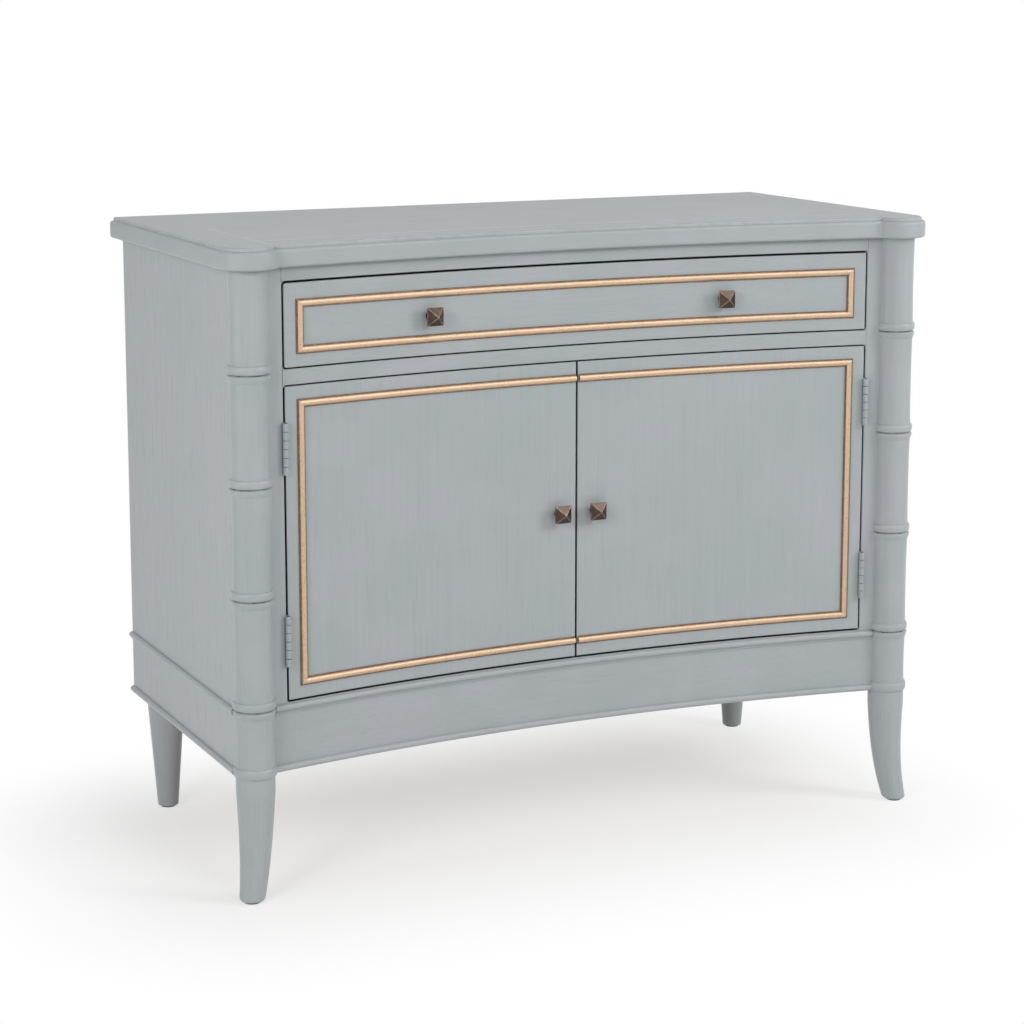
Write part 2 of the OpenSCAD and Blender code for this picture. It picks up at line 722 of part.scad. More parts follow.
// Shelf pins: a peg in the panel and a flat seat under the shelf
module shelf_pins() color(STEEL)
    for (side = [0, 1], y = pin_y) mirrored(side == 1) {
        translate([side_x0 - seat_l, y, shelf_z0 - pin_r]) rotate([0, 90, 0])
            cylinder(r = pin_r, h = seat_l + pin_hole_l - cut, $fn = small_fn);
        translate([side_x0 - seat_l, y - seat_w / 2, shelf_z0 - pin_r])
            cube([seat_l - eps, seat_w, pin_r]);
    }

// Runner under a drawer side, with a guide beside it and a stop behind it
module drawer_runner(left) color(WOOD)
    mirrored(left) difference() {
        union() {
            translate([runner_x0, column_y, mid_z0])
                cube([side_x0 - runner_x0, post_y0 - column_y, mid_rail_h]);
            translate([box_x1 + run_gap, column_y, drawer_z0 - eps])
                cube([guide_w, post_y0 - column_y, guide_h + eps]);
            translate([box_x0, box_back_y + run_gap / 2, drawer_z0 - eps])
                cube([drawer_side_t, post_y0 - box_back_y - run_gap / 2, guide_h + eps]);
        }
        front_side(front_t);
        translate([column_x, column_y, mid_z0 - cut])
            cylinder(r = ring_r + ring_clear, h = mid_rail_h + guide_h + 2 * cut, $fn = round_fn);
        translate([runner_x0 - cut, column_y, dust_z0])
            cube([groove_in + cut, far / 2, dust_t]);
    }

module drawer_kickers() color(WOOD)
    for (side = [0, 1]) mirrored(side == 1) difference() {
        translate([box_x1 - guide_w, column_y, drawer_z1])
            cube([guide_w, rear_rail_y0 - column_y, top_rail_h]);
        front_side(front_t);
    }

// One leaf of a butt hinge about its pin, standing on +X or -X, with every second knuckle
module hinge_leaf(side, first) {
    pitch = hinge_l / knuckle_count;
    inner = reveal / 2 - leaf_t;
    plate_x = side > 0 ? inner : -reveal / 2;
    difference() {
        union() {
            translate([plate_x, knuckle_r + knuckle_clear, 0]) cube([leaf_t, leaf_w, hinge_l]);
            for (i = [first:2:knuckle_count - 1])
                translate([0, 0, i * pitch + knuckle_slit / 2]) {
                    cylinder(r = knuckle_r, h = pitch - knuckle_slit, $fn = small_fn);
                    translate([plate_x, 0, 0]) cube([leaf_t, knuckle_r + knuckle_clear + cut, pitch - knuckle_slit]);
                }
        }
        translate([0, 0, -cut]) cylinder(r = bore_r, h = hinge_l + 2 * cut, $fn = small_fn);
        for (z = [pitch, hinge_l / 2, hinge_l - pitch])
            translate([-reveal, knuckle_r + knuckle_clear + leaf_screw_in, z]) rotate([0, 90, 0])
                cylinder(r = screw_r, h = 2 * reveal, $fn = small_fn);
    }
}
module frame_hinge_leaves() color(PAINT)
    for (side = [0, 1], z = hinge_z) mirrored(side == 1)
        translate([hinge_x, hinge_y, z]) hinge_leaf(1, 0);
module door_hinge_leaves() color(PAINT)
    for (z = hinge_z) translate([hinge_x, hinge_y, z]) hinge_leaf(-1, 1);

module hinge_pins() color(STEEL)
    for (side = [-1, 1], z = hinge_z)
        translate([side * hinge_x, hinge_y, z]) cylinder(r = hinge_pin_r, h = hinge_l, $fn = small_fn);

// Catches under the dust panel, level with strike plates on the doors' backs
module door_catches() color(BRONZE)
    for (side = [0, 1]) mirrored(side == 1)
        along_front(catch_x - catch_l / 2, catch_x + catch_l / 2)
            translate([front_t + strike_t + strike_gap, door_z1 - strike_h])
                square([catch_d, dust_z0 - door_z1 + strike_h]);
module door_strike() color(STEEL)
    along_front(catch_x - strike_l / 2, catch_x + strike_l / 2)
        translate([front_t, door_z1 - strike_h - ease]) square([strike_t, strike_h]);

// Pyramid knob on the front's face, with a blind hole for its screw
module knob(x, z) color(BRONZE) {
    neck_z = knob_foot_t + knob_cove_h;
    rim_z = knob_rim_out - knob_rim_t;
    on_front(x, z) rotate([90, 0, 0]) difference() {
        union() {
            rotate_extrude($fn = small_fn) polygon(concat(
                [[0, 0], [knob_foot_r, 0], [knob_foot_r, knob_foot_t]],
                [for (i = [0:6]) let (a = 90 * i / 6)
                    [knob_neck_r + (knob_foot_r - knob_lip - knob_neck_r) * (1 - sin(a)),
                        knob_foot_t + knob_cove_h * (1 - cos(a))]],
                [for (i = [1:6]) let (a = 90 * i / 6)
                    [knob_neck_r + (knob_foot_r - knob_neck_r) * (1 - cos(a)), neck_z + (rim_z - neck_z) * sin(a)]],
                [[0, rim_z]]
            ));
            translate([-knob_w / 2, -knob_w / 2, rim_z]) cube([knob_w, knob_w, knob_rim_t]);
            translate([0, 0, knob_rim_out]) rotate([0, 0, 45])
                cylinder(r1 = knob_w / sqrt(2), r2 = 0, h = knob_out - knob_rim_out, $fn = 4);
        }
        translate([0, 0, -cut]) cylinder(r = screw_r + pin_clear, h = rim_z + cut, $fn = small_fn);
    }
}

// Hole for a knob's screw through a front board
module screw_hole(x, z) {
    on_front(x, z) rotate([-90, 0, 0]) translate([0, 0, -cut])
        cylinder(r = screw_r + dowel_clear, h = front_t + 2 * cut, $fn = small_fn);
}
module knob_screw(x, z) color(STEEL)
    on_front(x, z) rotate([-90, 0, 0]) {
        translate([0, 0, -screw_in_knob])
            cylinder(r = screw_r, h = front_t + screw_in_knob + cut, $fn = small_fn);
        translate([0, 0, front_t + eps]) cylinder(r = 2 * screw_r, h = screw_head_t, $fn = small_fn);
    }

// One length of trim across the front, and one up it
module trim_across(x0, x1, z) {
    along_front(x0, x1) translate([-glue_line, z]) polygon([for (p = astragal()) [-p[1], p[0]]]);
}
module trim_upright(x, z0, z1) {
    // Its flat back rests on the hollow face by its two edges
    seat = glue_line + trim_w * trim_w / (8 * bow_r);
    on_front(x, z0) translate([0, -seat, 0]) linear_extrude(height = z1 - z0)
        polygon([for (p = astragal()) [p[0], -p[1]]]);
}
// Wedge that cuts the mitre at an outer corner of the trim: corner at x, z, with the trim towards -dx, -dz
module mitre_wedge(x, z, dx, dz, upright) {
    reach = 2 * trim_w;
    back = mitre_gap / sqrt(2);
    translate([upright ? 0 : -dx * back, face_y(x, 0) + front_t, upright ? -dz * back : 0])
        rotate([90, 0, 0]) linear_extrude(height = 2 * front_t)
            polygon([
                [x + dx * cut, z + dz * cut],
                upright ? [x - dx * reach, z + dz * cut] : [x + dx * cut, z - dz * reach],
                [x - dx * reach, z - dz * reach]
            ]);
}

// Middle of an upright length of trim whose outer edge lies at x
function upright_x(x) = x - sign(x) * trim_w / 2 * cos(face_angle(x));

module drawer_trim() color(GILT) {
    x1 = open_x - reveal - trim_margin;
    z0 = drawer_trim_z0;
    z1 = z0 + drawer_trim_h;
    for (level = [[z0, z0 + trim_w / 2, -1], [z1, z1 - trim_w / 2, 1]]) difference() {
        trim_across(-x1, x1, level[1]);
        for (side = [-1, 1]) mitre_wedge(side * x1, level[0], side, level[2], false);
    }
    for (side = [-1, 1]) difference() {
        trim_upright(side * upright_x(x1), z0, z1);
        mitre_wedge(side * x1, z0, side, -1, true);
        mitre_wedge(side * x1, z1, side, 1, true);
    }
}

// Parts of the right-hand door, which the left-hand door mirrors
module door_trim() color(GILT) {
    x0 = door_x0 + trim_end_gap;
    x1 = door_x1 - trim_margin;
    z0 = door_z0 + trim_margin;
    z1 = door_z1 - trim_margin;
    for (level = [[z0, z0 + trim_w / 2, -1], [z1, z1 - trim_w / 2, 1]]) difference() {
        trim_across(x0, x1, level[1]);
        mitre_wedge(x1, level[0], 1, level[2], false);
    }
    difference() {
        trim_upright(upright_x(x1), z0, z1);
        mitre_wedge(x1, z0, 1, -1, true);
        mitre_wedge(x1, z1, 1, 1, true);
    }
}

module door_panel() color(PAINT)
    difference() {
        along_front(door_x0, door_x1) polygon(board(door_z0, door_z1, ease, ease));
        // The meeting edge leans away from the other door
        translate([door_x0, face_y(door_x0, 0), door_z0 - cut]) rotate([0, 0, -meeting_bevel])
            translate([-front_t, -cut, 0]) cube([front_t, 3 * front_t, door_z1 - door_z0 + 2 * cut]);
        for (x = [door_x0, door_x1]) ease_upright(x, door_z0, door_z1);
        corner_waste(door_x1, door_z0, 1, -1);
        corner_waste(door_x1, door_z1, 1, 1);
        screw_hole(door_knob_x, door_knob_z);
    }

module drawer_front() color(PAINT)
    difference() {
        along_front(-drawer_front_x, drawer_front_x) polygon(board(front_z0, front_z1, ease, ease));
        for (x = [-drawer_front_x, drawer_front_x]) ease_upright(x, front_z0, front_z1);
        for (side = [-1, 1]) {
            corner_waste(side * drawer_front_x, front_z0, side, -1);
            corner_waste(side * drawer_front_x, front_z1, side, 1);
        }
        for (x = [-drawer_knob_x, drawer_knob_x]) screw_hole(x, drawer_knob_z);
        along_front(-box_x0 - groove_in, box_x0 + groove_in)
            translate([front_t - groove_in, bottom_z0]) square([groove_in + cut, drawer_bottom_t]);
    }

module drawer_side(left) color(WOOD)
    mirrored(left) difference() {
        translate([box_x0, column_y, box_z0]) cube([drawer_side_t, box_back_y - column_y, box_z1 - box_z0]);
        front_side(front_t);
        translate([box_x0 - cut, column_y, bottom_z0]) cube([groove_in + cut, far / 2, drawer_bottom_t]);
    }

module drawer_back() color(WOOD)
    translate([-box_x0, box_back_y - drawer_side_t, bottom_z0 + drawer_bottom_t])
        cube([2 * box_x0, drawer_side_t, box_z1 - drawer_back_drop - bottom_z0 - drawer_bottom_t]);

module drawer_bottom() color(WOOD)
    difference() {
        translate([-box_x0 - groove_in, column_y, bottom_z0])
            cube([2 * (box_x0 + groove_in), box_back_y - column_y, drawer_bottom_t]);
        front_side(front_t - groove_in);
    }

top_field_panel();
top_front_border();
top_end(true);  // top_end_left
top_end(false);  // top_end_right
side_panel(true);  // side_panel_left
side_panel(false);  // side_panel_right
back_panel();
corner_column(true);  // corner_column_left
corner_column(false);  // corner_column_right
front_leg(true);  // front_leg_left
front_leg(false);  // front_leg_right
rear_leg(true);  // rear_leg_left
rear_leg(false);  // rear_leg_right
rear_post(true);  // rear_post_left
rear_post(false);  // rear_post_right
foot_glides();
stile(true);  // stile_left
stile(false);  // stile_right
top_rail();
middle_rail();
front_apron();
apron_upper_bead();
apron_lower_bead();
side_beads(true);  // side_beads_left
side_beads(false);  // side_beads_right
rear_top_rail();
rear_bottom_rail();
cabinet_floor();
floor_cleats();
dust_panel();
shelf();
shelf_pins();
drawer_runner(true);  // drawer_runner_left
drawer_runner(false);  // drawer_runner_right
drawer_kickers();
frame_hinge_leaves();
hinge_pins();
door_catches();
drawer_front();
drawer_side(true);  // drawer_side_left
drawer_side(false);  // drawer_side_right
drawer_back();
drawer_bottom();
drawer_trim();
knob(-drawer_knob_x, drawer_knob_z);  // drawer_knob_left
knob(drawer_knob_x, drawer_knob_z);  // drawer_knob_right
for (x = [-drawer_knob_x, drawer_knob_x]) knob_screw(x, drawer_knob_z);  // drawer_knob_screws
mirrored() door_panel();  // left_door
mirrored() door_trim();  // left_door_trim
knob(-door_knob_x, door_knob_z);  // left_door_knob
knob_screw(-door_knob_x, door_knob_z);  // left_door_knob_screw
mirrored() door_hinge_leaves();  // left_door_hinge_leaves
mirrored() door_strike();  // left_door_strike
door_panel();  // right_door
door_trim();  // right_door_trim
knob(door_knob_x, door_knob_z);  // right_door_knob
knob_screw(door_knob_x, door_knob_z);  // right_door_knob_screw
door_hinge_leaves();  // right_door_hinge_leaves
door_strike();  // right_door_strike
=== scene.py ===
"""Studio scene of a painted side cabinet with a concave front, one drawer and two doors.

All lengths are in metres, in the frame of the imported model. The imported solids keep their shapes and
get their finishes here. The knobs, the fillets in the corners of the openings, the hinges' screws and
the back panel's screws are modelled here.
"""

import logging
import math
from dataclasses import dataclass
from enum import Enum

import bmesh
import bpy
from mathutils import Matrix, Vector


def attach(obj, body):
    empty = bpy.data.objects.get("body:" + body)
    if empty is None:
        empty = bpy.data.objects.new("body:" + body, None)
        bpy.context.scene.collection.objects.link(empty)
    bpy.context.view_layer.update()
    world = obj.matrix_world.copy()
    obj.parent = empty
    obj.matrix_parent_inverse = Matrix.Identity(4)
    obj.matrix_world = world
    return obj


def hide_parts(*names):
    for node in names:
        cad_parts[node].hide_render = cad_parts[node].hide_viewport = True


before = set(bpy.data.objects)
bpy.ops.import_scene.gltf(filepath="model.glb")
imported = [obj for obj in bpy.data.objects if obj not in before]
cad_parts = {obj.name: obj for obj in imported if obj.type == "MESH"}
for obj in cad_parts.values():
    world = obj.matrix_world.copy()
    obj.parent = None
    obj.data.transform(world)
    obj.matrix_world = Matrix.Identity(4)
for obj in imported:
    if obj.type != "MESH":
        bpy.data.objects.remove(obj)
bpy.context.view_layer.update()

MM = 0.001
# Places within SNAP of each other count as level, and points within WELD are joined.
SNAP = 0.01 * MM
WELD = 0.001 * MM
# The arc of the front, whose axis stands in front of the cabinet.
BOW_RADIUS = 2575.5 * MM
BOW_CENTRE_Y = -2749.0 * MM
log = logging.getLogger("side_cabinet")

Socket = bpy.types.NodeSocket
Tree = bpy.types.NodeTree


class Grain(Enum):
    """The axis that a brush stroke or the wood's grain runs along, as its index in x, y, z."""

    SIDE_TO_SIDE = 0
    FRONT_TO_BACK = 1
    UPRIGHT = 2


class Body(Enum):
    """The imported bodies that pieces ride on."""

    CARCASS = "carcass"
    DRAWER = "drawer"
    LEFT_DOOR = "left_door"
    RIGHT_DOOR = "right_door"


def linear(colour: str) -> tuple[float, float, float, float]:
    """Turns an sRGB hex colour into linear light.

    Args:
        colour: a hash sign and six hex digits.

    Returns:
        Red, green and blue in linear light, and an alpha of 1.
    """
    parts = [int(colour[i : i + 2], 16) / 255 for i in (1, 3, 5)]
    light = [c / 12.92 if c <= 0.04045 else ((c + 0.055) / 1.055) ** 2.4 for c in parts]
    return (*light, 1.0)


def put(tree: Tree, kind: str, into: dict | None = None, **settings: object) -> bpy.types.Node:
    """Adds a node with its settings and fills its input sockets.

    Args:
        tree: the node tree of a material or of the world.
        kind: the node's type.
        into: for each input, by name or number, a plain value or the socket that feeds it.
        settings: the node's own properties.

    Returns:
        The new node.
    """
    node = tree.nodes.new(kind)
    for name, value in settings.items():
        setattr(node, name, value)
    for key, value in (into or {}).items():
        if isinstance(value, Socket):
            tree.links.new(value, node.inputs[key])
        else:
            node.inputs[key].default_value = value
    return node


def stretched(grain: Grain, across: float, along: float) -> tuple[float, float, float]:
    """Gives the scale that draws a noise out along the grain.

    Args:
        grain: the axis of the grain.
        across: width of one streak in metres.
        along: length of one streak in metres.

    Returns:
        One scale for each axis.
    """
    scale = [1 / across] * 3
    scale[grain.value] = 1 / along
    return tuple(scale)


@dataclass(frozen=True)
class Finish:
    """A finish, which makes its material once however many pieces wear it."""

    name: str

    def material(self) -> bpy.types.Material:
        """Gives the finish's material, and makes it on the first call."""
        made = bpy.data.materials.get(self.name)
        if made is None:
            made = bpy.data.materials.new(self.name)
            made.use_nodes = True
            tree = made.node_tree
            tree.nodes.clear()
            put(tree, "ShaderNodeOutputMaterial", {"Surface": self.wire(tree)})
        return made

    def wire(self, tree: Tree) -> Socket:
        """Adds the finish's nodes and gives the shader's output."""
        raise NotImplementedError

    def noise(self, tree: Tree, scale: tuple[float, float, float], shift: float = 0.0, detail: float = 2.0,
              distortion: float = 0.0) -> Socket:
        """Adds a noise on the piece's own coordinates.

        Args:
            tree: the material's node tree.
            scale: noise cells to the metre along each axis.
            shift: moves the pattern, so that two noises of a finish differ.
            detail: octaves.
            distortion: how far the cells are pulled out of line.

        Returns:
            The noise's value, from 0 to 1.
        """
        place = put(tree, "ShaderNodeTexCoord").outputs["Object"]
        spread = put(tree, "ShaderNodeMapping", {
            "Vector": place, "Location": (shift, shift, shift), "Scale": scale})
        made = put(tree, "ShaderNodeTexNoise", {
            "Vector": spread.outputs[0], "Scale": 1.0, "Detail": detail, "Distortion": distortion})
        return made.outputs[0]

    def remap(self, tree: Tree, value: Socket, low: float, high: float, to_low: float = 0.0,
              to_high: float = 1.0) -> Socket:
        """Maps the span from low to high onto another, and holds the ends.

        Args:
            tree: the material's node tree.
            value: the socket to read.
            low: the value that gives to_low.
            high: the value that gives to_high.
            to_low: the result at low.
            to_high: the result at high.

        Returns:
            The mapped value.
        """
        made = put(tree, "ShaderNodeMapRange", {
            "Value": value, "From Min": low, "From Max": high, "To Min": to_low, "To Max": to_high})
        return made.outputs[0]

    def math(self, tree: Tree, operation: str, first: Socket | float, second: Socket | float = 0.0) -> Socket:
        """Adds a calculation with one or two values and gives its result."""
        return put(tree, "ShaderNodeMath", {0: first, 1: second}, operation=operation).outputs[0]

    def mix(self, tree: Tree, share: Socket | float, first: Socket | tuple, second: Socket | tuple) -> Socket:
        """Blends two colours, from the first at a share of 0 to the second at 1."""
        return put(tree, "ShaderNodeMix", {0: share, 6: first, 7: second}, data_type="RGBA").outputs[2]


@dataclass(frozen=True)
class BrushedPaint(Finish):
    """Satin paint brushed on by hand over a brown ground, then rubbed thin on the arrises.

    It gives the eye a soft, broad gloss, fine streaks along each stroke, slow drifts between a greener and
    a pinker grey, pale arrises that are partly rubbed paint and partly a painted highlight, a brown glaze that
    stays in the hollows, and painted near-black shade in the gaps between parts.
    """

    grain: Grain = Grain.UPRIGHT
    cool: str = "#A3ABAC"
    warm: str = "#A9ADB1"
    # rubbed: the pale arrises, partly paint rubbed thin and partly a painted highlight.
    rubbed: str = "#C3C9CB"
    glaze: str = "#6B5F54"
    # dark: painted shade, near-black, in the gaps and reveals between parts.
    dark: str = "#1B1A1A"
    mark_deep: str = "#4A3B33"
    mark_pale: str = "#9A7A5E"
    bristle_w: float = 1.3 * MM
    bristle_l: float = 90 * MM
    stroke_w: float = 11 * MM
    stroke_l: float = 240 * MM
    drift_w: float = 110 * MM
    patch_w: float = 14 * MM
    streaks: float = 0.035
    arris: float = 0.9 * MM
    # How wide and how strong the pale arrises are: wear plus a painted highlight.
    wear_and_highlight_w: float = 1.2 * MM
    wear: float = 0.8
    hollow: float = 6 * MM
    # How far the nearness of another part still darkens the paint with painted shade.
    gap_shade_reach: float = 9 * MM
    sheen_rough: tuple[float, float] = (0.26, 0.35)
    node_heights: tuple[float, ...] = ()
    mark_w: float = 9 * MM
    mark_l: float = 60 * MM
    mark_h: float = 1.2 * MM
    speck_w: float = 2 * MM
    # Draws pale painted highlights along the top's seam joints.
    seams: bool = False
    end_seam: float = 468 * MM
    end_seam_w: float = 1.1 * MM
    front_seam: float = 2622.0 * MM
    front_seam_w: float = 2 * MM
    bow_centre: float = BOW_CENTRE_Y

    def wire(self, tree: Tree) -> Socket:
        """Adds the paint's nodes and gives the shader's output."""
        bristles = self.noise(tree, stretched(self.grain, self.bristle_w, self.bristle_l), 3.1, 3.0, 0.2)
        strokes = self.noise(tree, stretched(self.grain, self.stroke_w, self.stroke_l), 7.7, 2.0, 0.6)
        drift = self.noise(tree, (1 / self.drift_w,) * 3, 1.3, 2.0)
        colour = self.mix(tree, self.remap(tree, drift, 0.35, 0.65), linear(self.cool), linear(self.warm))
        tone = self.math(tree, "ADD", self.remap(tree, bristles, 0.3, 0.7, -self.streaks / 2, self.streaks / 2),
                         self.remap(tree, strokes, 0.3, 0.7, 1 - self.streaks / 2, 1 + self.streaks / 2))
        colour = put(tree, "ShaderNodeVectorMath", {0: colour, "Scale": tone}, operation="SCALE").outputs[0]
        true = put(tree, "ShaderNodeNewGeometry").outputs["Normal"]
        soft = true
        patchy = self.noise(tree, (1 / self.patch_w,) * 3, 5.9, 3.0)
        open_sky = put(tree, "ShaderNodeAmbientOcclusion", {"Distance": self.hollow}, samples=6,
                       only_local=True).outputs["AO"]
        sunk = self.remap(tree, open_sky, 0.7, 0.3)
        # Pale arrises: partly paint rubbed thin, partly a painted highlight where the edges would catch the
        # light.
        if self.arris:
            soft = put(tree, "ShaderNodeBevel", {"Radius": self.arris}, samples=4).outputs[0]
            wide = put(tree, "ShaderNodeBevel", {"Radius": self.wear_and_highlight_w}, samples=4).outputs[0]
            turn = put(tree, "ShaderNodeVectorMath", {0: wide, 1: true}, operation="DOT_PRODUCT")
            bent = turn.outputs["Value"]
            worn = self.math(tree, "MULTIPLY", self.remap(tree, bent, 0.99, 0.85, 0.0, self.wear),
                             self.remap(tree, sunk, 0.3, 0.0))
            worn = self.math(tree, "MULTIPLY", worn, self.remap(tree, patchy, 0.35, 0.6, 0.3, 1.0))
            colour = self.mix(tree, worn, colour, linear(self.rubbed))
        stain = self.math(tree, "MULTIPLY", sunk, self.remap(tree, patchy, 0.4, 0.65, 0.12, 0.6))
        colour = self.mix(tree, stain, colour, linear(self.glaze))
        # Painted shade: the paint goes near-black where another part stands close, in the gaps round the doors
        # and drawer.
        painted_gap_shade = put(tree, "ShaderNodeAmbientOcclusion", {"Distance": self.gap_shade_reach}, samples=6).outputs["AO"]
        colour = self.mix(tree, self.remap(tree, painted_gap_shade, 0.34, 0.16), colour, linear(self.dark))
        if self.node_heights:
            colour = self.groove_marks(tree, colour)
        # Painted highlight along the top's seam joints.
        if self.seams:
            colour = self.painted_seam_highlights(tree, colour, patchy)
        rough = self.remap(tree, bristles, 0.3, 0.7, *self.sheen_rough)
        bump = put(tree, "ShaderNodeBump", {
            "Strength": 0.35, "Distance": 0.12 * MM, "Height": bristles, "Normal": soft}).outputs[0]
        return put(tree, "ShaderNodeBsdfPrincipled", {
            "Base Color": colour, "Roughness": rough, "IOR": 1.47, "Specular IOR Level": 0.35,
            "Normal": bump}).outputs[0]

    def painted_seam_highlights(self, tree: Tree, colour: Socket, patchy: Socket) -> Socket:
        """Adds pale lines along the top's seam joints: a painted highlight where the grooves catch the light,
        broken up like rubbed paint.

        Args:
            tree: the material's node tree.
            colour: the paint without them.
            patchy: a noise that makes the rubbing uneven.

        Returns:
            The colour with them.
        """
        place = put(tree, "ShaderNodeTexCoord").outputs["Object"]
        across = self.math(tree, "ABSOLUTE", put(tree, "ShaderNodeSeparateXYZ", {0: place}).outputs["X"])
        plan = put(tree, "ShaderNodeMapping", {
            "Vector": place, "Location": (0, -self.bow_centre, 0), "Scale": (1, 1, 0)}).outputs[0]
        reach = put(tree, "ShaderNodeVectorMath", {0: plan}, operation="LENGTH").outputs["Value"]
        at_end = put(tree, "ShaderNodeMath", {
            0: across, 1: self.end_seam, 2: self.end_seam_w}, operation="COMPARE")
        behind = self.math(tree, "GREATER_THAN", reach, self.front_seam)
        end = self.math(tree, "MULTIPLY", at_end.outputs[0], behind)
        at_front = put(tree, "ShaderNodeMath", {
            0: reach, 1: self.front_seam, 2: self.front_seam_w}, operation="COMPARE")
        between = self.math(tree, "LESS_THAN", across, self.end_seam)
        front = self.math(tree, "MULTIPLY", at_front.outputs[0], between)
        both = self.math(tree, "MAXIMUM", end, front)
        share = self.math(tree, "MULTIPLY", both, self.remap(tree, patchy, 0.35, 0.6, 0.25, 0.7))
        return self.mix(tree, share, colour, linear(self.rubbed))

    def groove_marks(self, tree: Tree, colour: Socket) -> Socket:
        """Adds brown marks, in patches, along the grooves of a column's nodes.

        Args:
            tree: the material's node tree.
            colour: the paint without them.

        Returns:
            The colour with them.
        """
        place = put(tree, "ShaderNodeTexCoord").outputs["Object"]
        height = put(tree, "ShaderNodeSeparateXYZ", {0: place}).outputs["Z"]
        patches = self.noise(tree, stretched(Grain.UPRIGHT, self.mark_w, self.mark_l), 2.4, 4.0)
        reach = self.remap(tree, patches, 0.54, 0.66, 0.0, self.mark_h)
        marks: Socket | float = 0.0
        for level in self.node_heights:
            mark = put(tree, "ShaderNodeMath", {0: height, 1: level, 2: reach}, operation="COMPARE")
            marks = self.math(tree, "MAXIMUM", marks, mark.outputs[0])
        speck = self.noise(tree, (1 / self.speck_w,) * 3, 8.2, 2.0)
        brown = self.mix(tree, self.remap(tree, speck, 0.4, 0.6), linear(self.mark_deep), linear(self.mark_pale))
        return self.mix(tree, self.math(tree, "MULTIPLY", marks, 0.85), colour, brown)


@dataclass(frozen=True)
class AntiqueGold(Finish):
    """Gold-coloured leaf rubbed over carved wood moulding.

    It gives the eye a warm half-metal glow with a painted highlight along the crown of the moulding, brown
    along both feet, which is partly the ground and partly painted shade where the moulding meets the face,
    and small worn specks.
    """

    leaf: str = "#B5957A"
    # bright: the painted highlight along the crown of the moulding.
    bright: str = "#DCC3A6"
    ground: str = "#735844"
    rub_w: float = 5 * MM
    rub_depth: float = 0.45 * MM
    speck_w: float = 1.6 * MM
    bow_radius: float = BOW_RADIUS
    bow_centre: float = BOW_CENTRE_Y

    def wire(self, tree: Tree) -> Socket:
        """Adds the leaf's nodes and gives the shader's output."""
        place = put(tree, "ShaderNodeTexCoord").outputs["Object"]
        plan = put(tree, "ShaderNodeMapping", {
            "Vector": place, "Location": (0, -self.bow_centre, 0), "Scale": (1, 1, 0)}).outputs[0]
        reach = put(tree, "ShaderNodeVectorMath", {0: plan}, operation="LENGTH").outputs["Value"]
        proud = self.math(tree, "SUBTRACT", self.bow_radius, reach)
        rub = self.noise(tree, (1 / self.rub_w,) * 3, 4.4, 4.0)
        speck = self.noise(tree, (1 / self.speck_w,) * 3, 9.1, 2.0)
        level = self.math(tree, "ADD", proud, self.remap(tree, rub, 0.3, 0.7, -self.rub_depth, self.rub_depth))
        # Brown at the feet: partly the ground showing, partly painted shade where the moulding meets the face.
        crown = self.remap(tree, level, 1.2 * MM, 2.4 * MM)
        colour = self.mix(tree, crown, linear(self.ground), linear(self.leaf))
        # Painted highlight along the crown of the moulding.
        painted_crown_highlight = self.remap(tree, level, 2.3 * MM, 3.3 * MM, 0.0, 0.6)
        colour = self.mix(tree, painted_crown_highlight, colour, linear(self.bright))
        worn = self.remap(tree, speck, 0.56, 0.72, 0.0, 0.55)
        colour = self.mix(tree, worn, colour, linear(self.ground))
        bump = put(tree, "ShaderNodeBump", {
            "Strength": 0.3, "Distance": 0.2 * MM, "Height": rub}).outputs[0]
        metal = self.math(tree, "MULTIPLY", crown, self.remap(tree, worn, 0.0, 1.0, 0.7, 0.2))
        return put(tree, "ShaderNodeBsdfPrincipled", {
            "Base Color": colour, "Metallic": metal, "Roughness": self.remap(tree, rub, 0.3, 0.7, 0.34, 0.5),
            "Normal": bump}).outputs[0]


@dataclass(frozen=True)
class AgedBronze(Finish):
    """Cast bronze, darkened by a chemical bath and rubbed bright on its arrises.

    It gives the eye a near-black brown with a low sheen, and coppery lines where hands wear it.
    """

    dark: str = "#453A34"
    clouded: str = "#534740"
    rubbed: str = "#A8907F"
    cloud_w: float = 7 * MM
    pit_w: float = 0.8 * MM

    def wire(self, tree: Tree) -> Socket:
        """Adds the bronze's nodes and gives the shader's output."""
        cloud = self.noise(tree, (1 / self.cloud_w,) * 3, 2.2, 3.0)
        pits = self.noise(tree, (1 / self.pit_w,) * 3, 6.6, 2.0)
        rub = put(tree, "ShaderNodeAttribute", attribute_name=SquareKnob.RUB).outputs["Fac"]
        colour = self.mix(tree, self.remap(tree, cloud, 0.3, 0.7), linear(self.dark), linear(self.clouded))
        share = self.math(tree, "MULTIPLY", rub, self.remap(tree, cloud, 0.3, 0.6, 0.45, 1.0))
        colour = self.mix(tree, share, colour, linear(self.rubbed))
        bump = put(tree, "ShaderNodeBump", {
            "Strength": 0.25, "Distance": 0.1 * MM, "Height": pits}).outputs[0]
        return put(tree, "ShaderNodeBsdfPrincipled", {
            "Base Color": colour, "Metallic": 1.0, "Roughness": self.remap(tree, cloud, 0.3, 0.7, 0.22, 0.3),
            "Normal": bump}).outputs[0]


